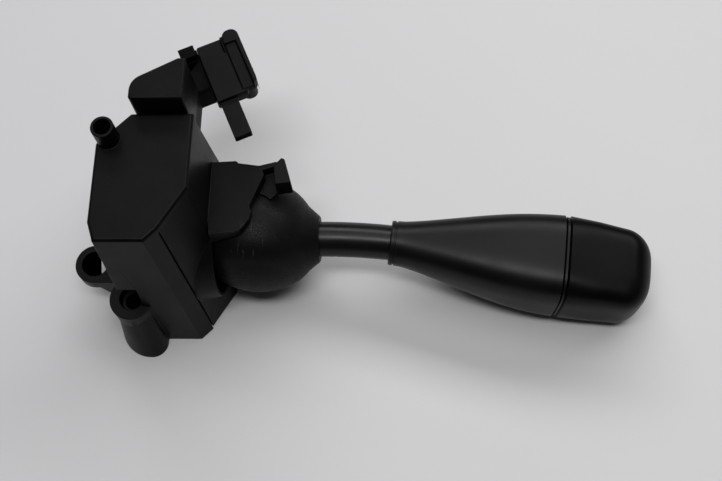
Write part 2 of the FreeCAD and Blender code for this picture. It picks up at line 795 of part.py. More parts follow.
# Cradle: frame that turns on the upright pins and carries the lever's cross pin
cradle = new_body("cradle")
at_pivot(cradle)
frame_flat = sketch(cradle, "frame_side", "YZ_Plane", "-frame_half_length")
frame_box = box_corners("-frame_outer_width", "frame_outer_width", "-frame_outer_height",
                        "frame_outer_height")
rounded(frame_flat, frame_box, ["2"] * 4)
pad(cradle, "frame", frame_flat, "2 * frame_half_length")
window_flat = sketch(cradle, "frame_window", "YZ_Plane", "-frame_half_length - 1")
window_box = box_corners("-frame_inner_width", "frame_inner_width", "-frame_inner_height",
                         "frame_inner_height")
rounded(window_flat, window_box, ["1"] * 4)
pocket(cradle, "window", window_flat, "2 * frame_half_length + 2", ahead=True)
barrel(cradle, "upright_bore", "Z", ("0", "0", "-frame_outer_height - 1"), "pin_radius + running_gap",
       "2 * frame_outer_height + 2", cut=True)
barrel(cradle, "cross_bore", "Y", ("0", "-frame_outer_width - 1", "0"), "pin_radius + running_gap",
       "2 * frame_outer_width + 2", cut=True)

# Lever hub: barrel on the cross pin, neck for the rod and a tail with two ball followers
hub = new_body("lever_hub")
at_pivot(hub)
HUB_HALF = "(frame_inner_width - hub_side_gap)"
barrel(hub, "hub_barrel", "Y", ("0", f"-{HUB_HALF}", "0"), "hub_radius", f"2 * {HUB_HALF}")
barrel(hub, "neck", "X", ("0", "0", "0"), "neck_radius", "neck_end")
barrel(hub, "tail", "X", ("-reach_arm", "0", "0"), "tail_radius", "reach_arm")
ball(hub, "tilt_bead", ("-tilt_arm", "0", "0"), "bead_radius")
ball(hub, "reach_bead", ("-reach_arm", "0", "0"), "bead_radius")
barrel(hub, "hub_bore", "Y", ("0", f"-{HUB_HALF} - 1", "0"), "pin_radius + press_gap",
       f"2 * {HUB_HALF} + 2", cut=True)
barrel(hub, "rod_socket", "X", ("tang_start - 0.3", "0", "0"), "tang_radius + press_gap", "neck_end",
       cut=True)
barrel(hub, "rod_pin_bore", "Z", ("rod_pin_at", "0", "-neck_radius - 1"), "rod_pin_radius + press_gap",
       "2 * neck_radius + 2", cut=True)

cross_pin = new_body("lever_pin")
at_pivot(cross_pin)
barrel(cross_pin, "cross_pin", "Y", ("0", "-frame_outer_width", "0"), "pin_radius", "2 * frame_outer_width")

retainer = new_body("rod_pin")
at_pivot(retainer)
barrel(retainer, "retainer", "Z", ("rod_pin_at", "0", "-neck_radius"), "rod_pin_radius", "2 * neck_radius")

# Ball cap: thin spherical shell with a conical nose round the rod
cap = new_body("dome_cap")
at_pivot(cap)
shell_flat = sketch(cap, "cap_profile", "XZ_Plane")


def arc_about_origin(flat, radius, start_x, end_x):
    """A half-side arc centred on the pivot, from its rear end to its front end."""
    size = number(radius)
    ring = Part.Circle(Vector(0, 0, 0), Vector(0, 0, 1), size)
    ends = [Vector(number(x), (size**2 - number(x) ** 2) ** 0.5, 0) for x in (start_x, end_x)]
    arc = flat.addGeometry(Part.ArcOfCircle(ring, ring.parameter(ends[1]), ring.parameter(ends[0])))
    pin(flat, arc, 3, "0", "0")
    hold(flat, "Radius", (arc,), radius)
    hold(flat, "DistanceX", (-1, 1, arc, 2), start_x)
    hold(flat, "DistanceX", (-1, 1, arc, 1), end_x)
    return arc, ends


INNER = "(ball_radius - ball_wall)"
outer_arc, outer_ends = arc_about_origin(shell_flat, "ball_radius", "-ball_rim",
                                         "ball_radius * cos(nose_taper)")
inner_arc, inner_ends = arc_about_origin(shell_flat, INNER, "-ball_rim", f"{INNER} * cos(nose_taper * 0.8)")
bore = "rod_radius + running_gap"
nose = [
    ("nose_reach", "nose_radius"), ("nose_reach", bore), ("nose_reach - nose_boss", bore),
    ("nose_reach - nose_boss", "nose_radius + 0.6"),
]
nose_spots = [Vector(number(x), number(y), 0) for x, y in nose]
chain = [outer_ends[1], *nose_spots, inner_ends[1]]
nose_lines = [shell_flat.addGeometry(Part.LineSegment(a, b)) for a, b in zip(chain, chain[1:])]
rim_line = shell_flat.addGeometry(Part.LineSegment(inner_ends[0], outer_ends[0]))
shell_flat.addConstraint(Sketcher.Constraint("Coincident", outer_arc, 1, nose_lines[0], 1))
for step, (across, up) in enumerate(nose):
    shell_flat.addConstraint(Sketcher.Constraint("Coincident", nose_lines[step], 2, nose_lines[step + 1],
                                                 1))
    pin(shell_flat, nose_lines[step], 2, across, up)
shell_flat.addConstraint(Sketcher.Constraint("Coincident", nose_lines[-1], 2, inner_arc, 1))
shell_flat.addConstraint(Sketcher.Constraint("Coincident", rim_line, 1, inner_arc, 2))
shell_flat.addConstraint(Sketcher.Constraint("Coincident", rim_line, 2, outer_arc, 2))
revolve(cap, "cap_shell", shell_flat)

# Rod: tang in the hub, straight start, gentle bend and a straight tail inside the grip
rod = new_body("lever_rod")
place(rod, "pivot_x", "pivot_y", "pivot_z", ("1", "0", "0"), "bend_roll")
ROD_START = "(neck_end + 0.1)"
path = sketch(rod, "rod_path", "XY_Plane")
bend_end = Vector(number("rod_straight + rod_bend_radius * sin(rod_bend)"),
                  number("-rod_bend_radius * (1 - cos(rod_bend))"), 0)
tail_way = Vector(number("cos(rod_bend)"), number("-sin(rod_bend)"), 0)
bend_ring = Part.Circle(Vector(number("rod_straight"), number("-rod_bend_radius"), 0), Vector(0, 0, 1),
                        number("rod_bend_radius"))
bend_start = Vector(number("rod_straight"), 0, 0)
run_in = path.addGeometry(Part.LineSegment(Vector(number(ROD_START), 0, 0), bend_start))
bend = path.addGeometry(Part.ArcOfCircle(bend_ring, bend_ring.parameter(bend_end),
                                         bend_ring.parameter(bend_start)))
run_out = path.addGeometry(Part.LineSegment(bend_end, bend_end + tail_way * number("rod_tail")))
pin(path, run_in, 1, ROD_START, "0")
pin(path, run_in, 2, "rod_straight", "0")
path.addConstraint(Sketcher.Constraint("Tangent", run_in, 2, bend, 2))
path.addConstraint(Sketcher.Constraint("Tangent", bend, 1, run_out, 1))
hold(path, "Radius", (bend,), "rod_bend_radius")
hold(path, "DistanceX", (-1, 1, bend, 1), "rod_straight + rod_bend_radius * sin(rod_bend)")
hold(path, "Distance", (run_out,), "rod_tail")
round_flat = sketch(rod, "rod_round", "YZ_Plane", ROD_START)
circle(round_flat, "0", "0", "rod_radius")
doc.recompute()
stalk = rod.newObject("PartDesign::AdditivePipe", "stalk")
stalk.Profile = round_flat
stalk.Spine = (path, [f"Edge{index + 1}" for index in range(3)])
tang_flat = sketch(rod, "tang_round", "YZ_Plane", ROD_START)
circle(tang_flat, "0", "0", "tang_radius")
pad(rod, "tang", tang_flat, f"{ROD_START} - tang_start", back=True)
tang_bore = barrel(rod, "tang_bore", "Z", ("0", "0", "0"), "rod_pin_radius + press_gap", "2 * neck_radius",
                   cut=True)
place(tang_bore, "rod_pin_at", "-neck_radius * sin(bend_roll)", "-neck_radius * cos(bend_roll)",
      ("1", "0", "0"),
      "-bend_roll")


def along_grip(thing, offset="0"):
    """Puts a piece in the grip's own frame: +X from the collar to the tip, at the end of the rod's bend."""
    drop = "rod_bend_radius * (1 - cos(rod_bend))"
    place(
        thing,
        f"pivot_x + rod_straight + rod_bend_radius * sin(rod_bend) + ({offset}) * cos(rod_bend)",
        f"pivot_y - ({drop} + ({offset}) * sin(rod_bend)) * cos(bend_roll)",
        f"pivot_z - ({drop} + ({offset}) * sin(rod_bend)) * sin(bend_roll)",
        ("0", "-sin(bend_roll)", "cos(bend_roll)"),
        "-rod_bend",
    )


# The screw's bore in the rod's end runs along the tail
tail_bore = rod.newObject("PartDesign::SubtractiveCylinder", "tail_bore")
tail_bore.setExpression("Radius", bound("grip_screw_radius + press_gap"))
tail_bore.setExpression("Height", bound("grip_screw_depth + 1"))
bore_start = "(rod_tail - grip_screw_depth)"
place(tail_bore, f"rod_straight + rod_bend_radius * sin(rod_bend) + {bore_start} * cos(rod_bend)",
      f"-rod_bend_radius * (1 - cos(rod_bend)) - {bore_start} * sin(rod_bend)", "0", ("0", "1", "0"), "90")
roll_text = bound("rotation(vector(0; 0; 1); -rod_bend) * rotation(vector(0; 1; 0); 90)")
base_text = bound(f"vector(rod_straight + rod_bend_radius * sin(rod_bend) + {bore_start} * cos(rod_bend); "
                  f"-rod_bend_radius * (1 - cos(rod_bend)) - {bore_start} * sin(rod_bend); 0)")
tail_bore.setExpression("Placement", f"placement({base_text}; {roll_text})")


# Grip sections, seen from the tip: near and far side, top and underside, all measured from the axis
def section(body, name, at, near, far, top, under, corner):
    flat = sketch(body, name, "YZ_Plane", at)
    rounded(flat, box_corners(f"-({near})", far, f"-({under})", top), [corner] * 4)
    return flat


def swollen(side, share):
    """A half size that grows from the collar to the seam."""
    return f"collar_end_radius + ({side} - collar_end_radius) * sin(90 * {share}) ^ grip_swell"


grip = new_body("knob_body")
along_grip(grip)
GRIP_STEPS = 4
grip_flats = []
for step in range(GRIP_STEPS + 1):
    share = step / GRIP_STEPS
    corner = f"collar_end_radius * 0.98 + (grip_corner - collar_end_radius * 0.98) * {share}"
    halves = [swollen(side, share) for side in ("grip_near", "grip_far", "grip_top", "grip_under")]
    grip_flats.append(section(grip, f"grip_section_{step}", f"grip_length * {share}", *halves, corner))
loft(grip, "grip", grip_flats)


def square_section(body, name, at, half, corner):
    return section(body, name, at, half, half, half, half, corner)


hollow = square_section(grip, "grip_hollow_mouth", "grip_length", "grip_hollow_half", "hollow_corner")
pocket(grip, "grip_hollow", hollow, "grip_hollow")
boss_flat = sketch(grip, "rod_boss_round", "YZ_Plane", "rod_tail - 0.1")
circle(boss_flat, "0", "0", "boss_radius")
pad(grip, "rod_boss", boss_flat, "rod_tail - grip_length + grip_hollow + 1", back=True)
barrel(grip, "collar_ring", "X", ("-collar_lip", "0", "0"), "collar_end_radius", "collar_lip + 0.5")
barrel(grip, "rod_bore", "X", ("-collar_lip - 1", "0", "0"), "rod_radius + running_gap", "grip_length",
       cut=True)

# Thin ring in the seam between grip and end cap
ring = new_body("seam_ring")
along_grip(ring)
ring_at = "grip_length + part_line"
ring_flat = section(ring, "ring_outline", ring_at, *(f"{side} - ring_inset" for side in
                    ("grip_near", "grip_far", "grip_top", "grip_under")), "grip_corner")
pad(ring, "ring", ring_flat, "ring_width")
ring_hole = square_section(ring, "ring_hole", ring_at, "grip_hollow_half", "hollow_corner")
pocket(ring, "ring_window", ring_hole, "ring_width + 1", ahead=True)

# End cap: hollow, with a rounded tip and a spigot that plugs into the grip
tip = new_body("end_cap")
along_grip(tip)
CAP_START = "(grip_length + 2 * part_line + ring_width)"
CAP_SIDES = (("grip_near", "cap_near_drop"), ("grip_far", "cap_far_drop"), ("grip_top", "cap_top_drop"),
             ("grip_under", "cap_under_drop"))
tip_flats = []
for step, share in enumerate((0.0, 0.5, 1.0)):
    halves = [f"{side} - {drop} * {share}" for side, drop in CAP_SIDES]
    tip_flats.append(section(tip, f"cap_section_{step}", f"{CAP_START} + cap_straight * {share}", *halves,
                             "grip_corner"))
for step, angle in enumerate((28, 50, 68, 82)):
    shrink = f"cos({angle}) ^ 0.7"
    halves = [f"({side} - {drop} * (1 + 0.5 * sin({angle}))) * {shrink}" for side, drop in CAP_SIDES]
    place_at = f"{CAP_START} + cap_straight + cap_round * sin({angle})"
    tip_flats.append(section(tip, f"tip_section_{step}", place_at, *halves, f"grip_corner * {shrink}"))
loft(tip, "cap", tip_flats)
cap_mouth = square_section(tip, "cap_mouth", CAP_START, "grip_hollow_half - part_line", "hollow_corner")
pad(tip, "spigot", cap_mouth, "spigot_length", back=True)
cap_hollow = square_section(tip, "cap_hollow_mouth", f"{CAP_START} - spigot_length - 1",
                            "grip_hollow_half - grip_wall + 0.6", "hollow_corner / 2")
pocket(tip, "cap_hollow", cap_hollow, "cap_hollow + spigot_length + 1", ahead=True)

# Screw and washer that hold the grip on the rod, hidden under the end cap
washer = new_body("grip_washer")
along_grip(washer)
barrel(washer, "washer", "X", ("rod_tail + press_gap", "0", "0"), "washer_radius", "washer_thick")
barrel(washer, "washer_bore", "X", ("rod_tail - 1", "0", "0"), "grip_screw_radius + 0.15",
       "washer_thick + 2", cut=True)
screw = new_body("grip_screw")
along_grip(screw)
barrel(screw, "grip_head", "X", ("rod_tail + washer_thick + 2 * press_gap", "0", "0"), "grip_head_radius",
       "grip_head_height")
barrel(screw, "grip_shank", "X", ("rod_tail - grip_screw_depth + 0.5", "0", "0"), "grip_screw_radius",
       "grip_screw_depth + washer_thick")

# Slider guide: two pairs of grooved rails between side walls, on ears screwed to the carrier
guide = new_body("slider_guide")
at_pivot(guide)
REACH_BACK = "(-reach_arm - slider_thick / 2)"
REACH_FACE = "(-reach_arm + slider_thick / 2)"
TILT_BACK = "(-tilt_arm - slider_thick / 2)"
TILT_FACE = "(-tilt_arm + slider_thick / 2)"
reach_rail = (f"{REACH_BACK} - slider_gap - lip", f"{REACH_FACE} + slider_gap + 0.4")
tilt_rail = (f"{TILT_BACK} - slider_gap - lip", f"{TILT_FACE} + slider_gap + lip")
GUIDE_FRONT = "(-mouth_floor - mouth_floor_thick - press_gap)"
NEAR_FRONT = f"({TILT_FACE} - 0.5)"
GUIDE_SPAN = ("-rail_outer", "rail_outer + rail_rise")
block(guide, "far_wall", ("-guide_back", GUIDE_FRONT), ("rail_outer", "guide_outer"), GUIDE_SPAN)
block(guide, "near_wall", ("-guide_back", NEAR_FRONT), ("-guide_outer", "-rail_outer"), GUIDE_SPAN)
for side, (low, high) in (("lower", ("-rail_outer", "-rail_inner")),
                          ("upper", ("rail_inner + rail_rise", "rail_outer + rail_rise"))):
    block(guide, f"{side}_rail", reach_rail, ("-rail_outer - 0.5", "rail_outer + 0.5"), (low, high))
for side, (low, high) in (("near", ("-rail_outer", "-rail_inner")), ("far", ("rail_inner", "rail_outer"))):
    block(guide, f"{side}_rail", tilt_rail, (low, high), ("-rail_outer", "rail_outer"))
block(guide, "reach_groove", (f"{REACH_BACK} - slider_gap", f"{REACH_FACE} + slider_gap / 2"),
      ("-rail_outer", "rail_outer"),
      ("-reach_half_height - slider_gap", "reach_half_height + rail_rise + slider_gap"), cut=True)
block(guide, "tilt_groove", (f"{TILT_BACK} - slider_gap", f"{TILT_FACE} + slider_gap"),
      ("-tilt_half_width - slider_gap", "tilt_half_width + slider_gap"),
      ("-rail_outer - 1", "rail_outer + 1"), cut=True)
block(guide, "tab_slot", (f"{REACH_BACK} - slider_gap", f"{REACH_FACE} + slider_gap / 2"),
      ("-tab_half - slot_run - 0.4", "tab_half + slot_run + 0.4"), ("-rail_outer - 1", "0"), cut=True)
EAR_BACK = f"({GUIDE_FRONT} - guide_ear_thick)"
block(guide, "far_ear", (EAR_BACK, GUIDE_FRONT), ("guide_outer", "guide_ear"), ("-3", "3"))
block(guide, "low_ear", (EAR_BACK, GUIDE_FRONT), ("-low_ear_across - 2.2", "-low_ear_across + 2.2"),
      ("-low_ear_down - 2", "-rail_inner - 1"))
block(guide, "low_web", (f"{TILT_FACE} + slider_gap", GUIDE_FRONT),
      ("-rail_outer", "-low_ear_across + 2.2"),
      ("-rail_outer", "-rail_inner - 1"))
TRIM = ("wall + seam_step + 0.3", "pivot_z + rail_outer")
trim_flat = sketch(guide, "corner_trim", "XY_Plane", "-3")
trim_corners = [seam_point("-4", *TRIM), seam_point("-4", "-6", TRIM[1]), seam_point("14", "-6", TRIM[1]),
                seam_point("14", *TRIM)]
outline(trim_flat, [(f"{x} - pivot_x", f"{y} - pivot_y") for x, y in trim_corners])
pocket(guide, "corner_notch", trim_flat, "rail_outer + rail_rise + 4", ahead=True)
for index, (across, up) in enumerate(GUIDE_SCREWS, start=1):
    barrel(guide, f"ear_hole_{index}", "X", (f"{EAR_BACK} - 1", across, up), "guide_screw_radius + 0.15",
           "guide_ear_thick + 2", cut=True)
peg_plate = (f"{REACH_FACE} + slider_gap / 2 + 0.05", f"{TILT_BACK} - slider_gap - lip + 0.2")
block(guide, "lower_peg_plate", peg_plate, ("-3", "3"),
      ("-reach_peg_at - loop_radius", "-rail_outer + 0.5"))
barrel(guide, "lower_peg", "X", (f"{REACH_BACK} + 0.3", "0", "-reach_peg_at"), "peg_radius",
       "slider_thick + 0.2")
post_x = (f"{TILT_FACE} - 0.2", GUIDE_FRONT)
LEG_MIDDLE = "((leg_low + leg_high) / 2)"
block(guide, "upper_post", post_x, ("tilt_peg_at - 2", "guide_outer"),
      ("rail_outer - 0.5", f"{LEG_MIDDLE} + 1.8"))
barrel(guide, "upper_peg", "X", ("-tilt_arm - wire_radius", "tilt_peg_at", LEG_MIDDLE), "peg_radius",
       "slider_thick")

screws = []
for index, (across, up) in enumerate(GUIDE_SCREWS, start=1):
    spot = (f"pivot_y + {across}", f"pivot_z + {up}")
    screws.append(plain_cylinder(f"guide_head_{index}", "X",
                                 (f"pivot_x + {EAR_BACK} - guide_head_height - press_gap",
                                 *spot), "guide_head_radius", "guide_head_height"))
    screws.append(plain_cylinder(f"guide_shank_{index}", "X", (f"pivot_x + {EAR_BACK} - 0.5", *spot),
                                 "guide_screw_radius - press_gap",
                                 "guide_ear_thick + guide_screw_depth + 0.3"))
group("guide_screws", screws)

# Reach slider: moves across with the lever's fore and aft swing
reach = new_body("reach_slider")
at_pivot(reach)
reach_x = (REACH_BACK, REACH_FACE)
SLOT = "(bead_radius + slot_gap)"
reach_flat = sketch(reach, "reach_outline", "YZ_Plane", REACH_BACK)
reach_box = box_corners("-reach_half_width", "reach_half_width", "-reach_half_height",
                        "reach_half_height + rail_rise")
rounded(reach_flat, reach_box, ["0.8"] * 4)
pad(reach, "reach_plate", reach_flat, "slider_thick")
slot_flat = sketch(reach, "reach_slot", "YZ_Plane", f"{REACH_BACK} - 1")
slot_box = box_corners(f"-{SLOT}", SLOT, f"-{SLOT} - slot_run", f"{SLOT} + slot_run")
rounded(slot_flat, slot_box, ["bead_radius * 0.9"] * 4)
pocket(reach, "reach_window", slot_flat, "slider_thick + 2", ahead=True)
block(reach, "reach_tab", (f"{REACH_BACK} + 0.3", f"{REACH_FACE} - 0.3"), ("-tab_half", "tab_half"),
      ("-reach_tab_end", "-reach_half_height + 0.5"))

# Tilt slider: moves up and down with the lever's tilt.
# Its leg carries its contact over the reach rail
tilt = new_body("tilt_slider")
at_pivot(tilt)
tilt_flat = sketch(tilt, "tilt_outline", "YZ_Plane", TILT_BACK)
tilt_box = box_corners("-tilt_half_width", "tilt_half_width", "-tilt_half_height", "tilt_half_height")
rounded(tilt_flat, tilt_box, ["0.8"] * 4)
pad(tilt, "tilt_plate", tilt_flat, "slider_thick")
tilt_slot = sketch(tilt, "tilt_slot", "YZ_Plane", f"{TILT_BACK} - 1")
tilt_slot_box = box_corners(f"-{SLOT} - slot_run", f"{SLOT} + slot_run", f"-{SLOT}", SLOT)
rounded(tilt_slot, tilt_slot_box, ["bead_radius * 0.9"] * 4)
pocket(tilt, "tilt_window", tilt_slot, "slider_thick + 2", ahead=True)
block(tilt, "leg_riser", (TILT_BACK, TILT_FACE), ("-leg_half_width", "leg_half_width"),
      ("tilt_half_height - 0.5", "leg_high"))
LEG_BACK = "(-guide_back + 2 * contact_thick + 1.2)"
block(tilt, "leg", (LEG_BACK, TILT_FACE), ("-leg_half_width", "leg_half_width"), ("leg_low", "leg_high"))
block(tilt, "tilt_tab", ("-tilt_arm - 0.7", "-tilt_arm + 0.7"), ("leg_half_width - 0.5", "tilt_tab_end"),
      (f"{LEG_MIDDLE} - tab_half", f"{LEG_MIDDLE} + tab_half"))

# Contact board behind the sliders, with its brass tracks, and the sprung bridges that wipe them
board = new_body("contact_board")
at_pivot(board)
board_flat = sketch(board, "board_outline", "YZ_Plane", "-guide_back - press_gap")
board_box = box_corners("-board_half_width", "board_half_width", "-board_low", "board_high")
rounded(board_flat, board_box, ["1.5"] * 4)
pad(board, "board", board_flat, "board_thick", back=True)

tracks = []
TRACK_X = ("pivot_x - guide_back", "pivot_x - guide_back + track_thick")
for side, (low, high) in (("near", ("-8", "-0.8")), ("far", ("0.8", "8"))):
    tracks.append(plain_box(f"reach_track_{side}", TRACK_X, (f"pivot_y + {low}", f"pivot_y + {high}"),
                            ("pivot_z + reach_level - track_width / 2",
                             "pivot_z + reach_level + track_width / 2")))
for index, across in enumerate((-1.8, 1.8), start=1):
    for side, (low, high) in (("lower", ("-3.5", "-0.5")), ("upper", ("0.5", "3.5"))):
        tracks.append(plain_box(f"tilt_track_{side}_{index}", TRACK_X,
                                (f"pivot_y + {across} - track_width / 2",
                                 f"pivot_y + {across} + track_width / 2"),
                                (f"pivot_z + {LEG_MIDDLE} + {low}", f"pivot_z + {LEG_MIDDLE} + {high}")))
group("contact_tracks", tracks)


def bridge(label, plane, half, low, high, base, back=False):
    """A thin sprung bridge: a flat foot on the slider and two bent arms that reach for the tracks."""
    body = new_body(label)
    at_pivot(body)
    flat = sketch(body, f"{label}_side", plane, low)
    tip_x = "-guide_back + track_thick + 0.1"
    thick = "contact_thick"
    bottom, top = f"{base} - {thick}", base
    across = [f"-{half}", f"-{half} + 1.4", f"-{half} + 2.4", f"{half} - 2.4", f"{half} - 1.4", half]
    inner = [tip_x, tip_x, bottom, bottom, tip_x, tip_x]
    outer = [f"{tip_x} + {thick}", f"{tip_x} + {thick}", top, top, f"{tip_x} + {thick}",
             f"{tip_x} + {thick}"]
    points = list(zip(inner, across)) + list(zip(outer, across))[::-1]
    outline(flat, points)
    pad(body, f"{label}_strip", flat, f"({high}) - ({low})", back=back)
    return body


bridge("reach_contact", "XY_Plane", "5.6", "reach_level - 0.6", "reach_level + 0.6",
       f"{REACH_BACK} - press_gap")
bridge("tilt_contact", "XY_Plane", "2.8", "leg_low + 1", "leg_low + 2", f"{LEG_BACK} - press_gap")


# Hairpin springs: round wire, one open loop on a peg and two legs that hold the slider's tab
def hairpin(label, x, peg, along, leg_end):
    """Builds the wire about its peg; along is the way the legs point, as (y, z)."""
    wire = number("wire_radius")
    loop = number("loop_radius")
    gap = number("tab_half + wire_radius + 0.05")
    centre = Vector(number(x), number(peg[0]), number(peg[1]))
    ahead = Vector(0, *along)
    side = Vector(0, -along[1], along[0])
    reach_out = number(leg_end)
    rise = (loop**2 - (gap * 0.7) ** 2) ** 0.5
    starts = [centre + side * (gap * 0.7 * way) + ahead * rise for way in (-1, 1)]
    knees = [centre + side * (gap * way) + ahead * (rise + 0.9) for way in (-1, 1)]
    ends = [centre + side * (gap * way) + ahead * reach_out for way in (-1, 1)]
    far = centre - ahead * loop
    runs = [(ends[0], knees[0]), (knees[0], starts[0]), (starts[1], knees[1]), (knees[1], ends[1])]
    rods = [Part.makeCylinder(wire, (b - a).Length, a, b - a) for a, b in runs]
    joints = [Part.makeSphere(wire, spot) for spot in (*knees, *starts)]
    arc = Part.Wire([Part.Arc(starts[0], far, starts[1]).toShape()])
    tangent = (starts[0] - centre).cross(Vector(1, 0, 0))
    ring = Part.Wire([Part.Circle(starts[0], tangent, wire).toShape()])
    loop_solid = arc.makePipeShell([ring], True, False)
    solid = rods[0].fuse([*rods[1:], *joints, loop_solid])
    spring = doc.addObject("Part::Feature", label)
    spring.Label = label
    spring.Shape = solid
    place(spring, "pivot_x", "pivot_y", "pivot_z")
    NODES.append(spring)


hairpin("reach_spring", "-reach_arm", ("0", "-reach_peg_at"), (0, 1), "3.6")
hairpin("tilt_spring", "-tilt_arm", ("tilt_peg_at", LEG_MIDDLE), (-1, 0), "5.2")


# Turned connector frame: u along the plug's way out, v towards the rear
def turned(u, v):
    return (f"({u}) * cos(turn) - ({v}) * sin(turn)", f"({u}) * sin(turn) + ({v}) * cos(turn)")


def at_turn(thing):
    place(thing, angle="turn")


# Connector arm: channel behind the case that brings the leads to the connector
arm = new_body("connector_arm")
arm_flat = sketch(arm, "arm_outline", "XY_Plane", "arm_base")
ARM_FACE = "(plate_rear + rear_flare * 0.35 + fit_gap)"
ARM_END = "(body_left - press_gap)"
ARM_FRONT = "(lead_first_v - (lead_count - 1) * lead_pitch - 1.9)"
ARM_SIDE = "(block_right - 0.5)"


def on_v(x, v):
    """The world point of a line of constant v at a given x."""
    return (x, f"(({v}) + ({x}) * sin(turn)) / cos(turn)")


arm_points = [
    ("block_left + 0.2", ARM_FACE), (ARM_SIDE, ARM_FACE), on_v(ARM_SIDE, ARM_FRONT),
    turned(ARM_END, ARM_FRONT),
    turned(ARM_END, "tab_v"), turned("tab_u", "tab_v"), turned("tab_u", "tab_v - 3"),
    turned("tab_u - 6", "tab_v - 3.6"),
    ("block_left + 0.2", "block_left_rear + 6"),
]
outline(arm_flat, arm_points)
pad(arm, "arm_plate", arm_flat, "arm_top - arm_base")
CHANNEL_FRONT = "lead_first_v - (lead_count - 1) * lead_pitch - 1.2"
CHANNEL_REAR = "lead_first_v + 1.2"


channel = sketch(arm, "channel_outline", "XY_Plane", "arm_top + 1")
outline(channel, [
    ("channel_left", f"{ARM_FACE} - 1"), ("channel_right", f"{ARM_FACE} - 1"),
    on_v("channel_right", CHANNEL_FRONT),
    turned("body_left + 1", CHANNEL_FRONT), turned("body_left + 1", CHANNEL_REAR),
    on_v("channel_left", CHANNEL_REAR),
])
pocket(arm, "channel", channel, "arm_top - channel_floor + 1")

lid = new_body("arm_lid")
lid_flat = sketch(lid, "lid_outline", "XY_Plane", "arm_top + press_gap")
outline(lid_flat, arm_points)
pad(lid, "lid_plate", lid_flat, "lid_thick")
tab_flat = sketch(lid, "tab_outline", "XY_Plane", "arm_top + press_gap")
outline(tab_flat, [turned("tab_u", "tab_v - 3"), turned(f"{ARM_END} - 0.4", "tab_v - 3"),
                   turned(f"{ARM_END} - 0.4", "tab_v"), turned("tab_u", "tab_v")])
pad(lid, "raised_tab", tab_flat, "lid_thick + tab_rise")

# Connector: body, end flange round the socket and the flat tongue
plug = new_body("connector_housing")
at_turn(plug)
plug_flat = sketch(plug, "plug_outline", "XY_Plane", "body_low")
rounded(plug_flat, box_corners("body_left", "body_right + 1", "body_front", "body_rear"), ["0.6"] * 4)
pad(plug, "plug_block", plug_flat, "body_high - body_low")
flange_flat = sketch(plug, "flange_outline", "XY_Plane", "flange_low")
rounded(flange_flat, box_corners("body_right", "flange_right", "flange_front", "flange_rear"),
        ["flange_corner"] * 4)
pad(plug, "flange", flange_flat, "flange_high - flange_low")
hood_plate = sketch(plug, "hood_plate_outline", "XY_Plane", "body_high")
outline(hood_plate, box_corners("body_left", "body_right + 1", "hood_front", "body_front + 1"))
pad(plug, "hood_plate", hood_plate, "hood_thick", back=True)
flange_hood = sketch(plug, "flange_hood_outline", "XY_Plane", "flange_high")
rounded(flange_hood, box_corners("body_right", "flange_right", "flange_hood_front", "flange_front + 3"),
        ["0.4", "flange_corner", "0.4", "0.4"])
pad(plug, "flange_hood", flange_hood, "flange_hood_thick", back=True)
tongue_flat = sketch(plug, "tongue_outline", "XY_Plane", "tongue_high")
outline(tongue_flat, box_corners("tongue_left", "tongue_right", "tongue_end", "hood_front + 1"))
pad(plug, "tongue", tongue_flat, "tongue_thick", back=True)
block(plug, "rear_step", ("body_left - 1", "body_right - 0.6"), ("step_at", "body_rear + 1"),
      ("body_high - step_depth", "body_high + 1"), cut=True)
block(plug, "flange_step", ("body_right - 1", "flange_right - 1.2"),
      ("flange_hood_front - 1", "flange_rear - 3.4"),
      ("flange_high - 0.7", "flange_high + 1"), cut=True)
socket_flat = sketch(plug, "socket_outline", "YZ_Plane", "flange_right + 1")
rounded(socket_flat,
        box_corners("body_front + socket_wall", "body_rear - socket_wall", "body_low + socket_wall",
                                 "body_high - socket_wall - step_depth"), ["1"] * 4)
pocket(plug, "socket", socket_flat, "socket_depth + 1")
blade_v = [f"(lead_first_v - {index} * lead_pitch)" for index in range(int(number("lead_count")))]
for index, v in enumerate(blade_v, start=1):
    block(plug, f"blade_slot_{index}", ("body_left - 1", "flange_right - socket_depth + 1"),
          (f"{v} - lead_width / 2 - press_gap", f"{v} + lead_width / 2 + press_gap"),
          ("lead_level - lead_thick - press_gap", "lead_level + press_gap"), cut=True)

# Blades of the connector and the strips that feed them from the board
blades = []
for index, v in enumerate(blade_v, start=1):
    blade = doc.addObject("Part::Box", f"blade_{index}")
    blade.setExpression("Length", bound("blade_end - blade_start"))
    blade.setExpression("Width", bound("lead_width"))
    blade.setExpression("Height", bound("lead_thick"))
    corner_x, corner_y = turned("blade_start", f"{v} - lead_width / 2")
    place(blade, corner_x, corner_y, "lead_level - lead_thick", angle="turn")
    blades.append(blade)
group("terminal_blades", blades)

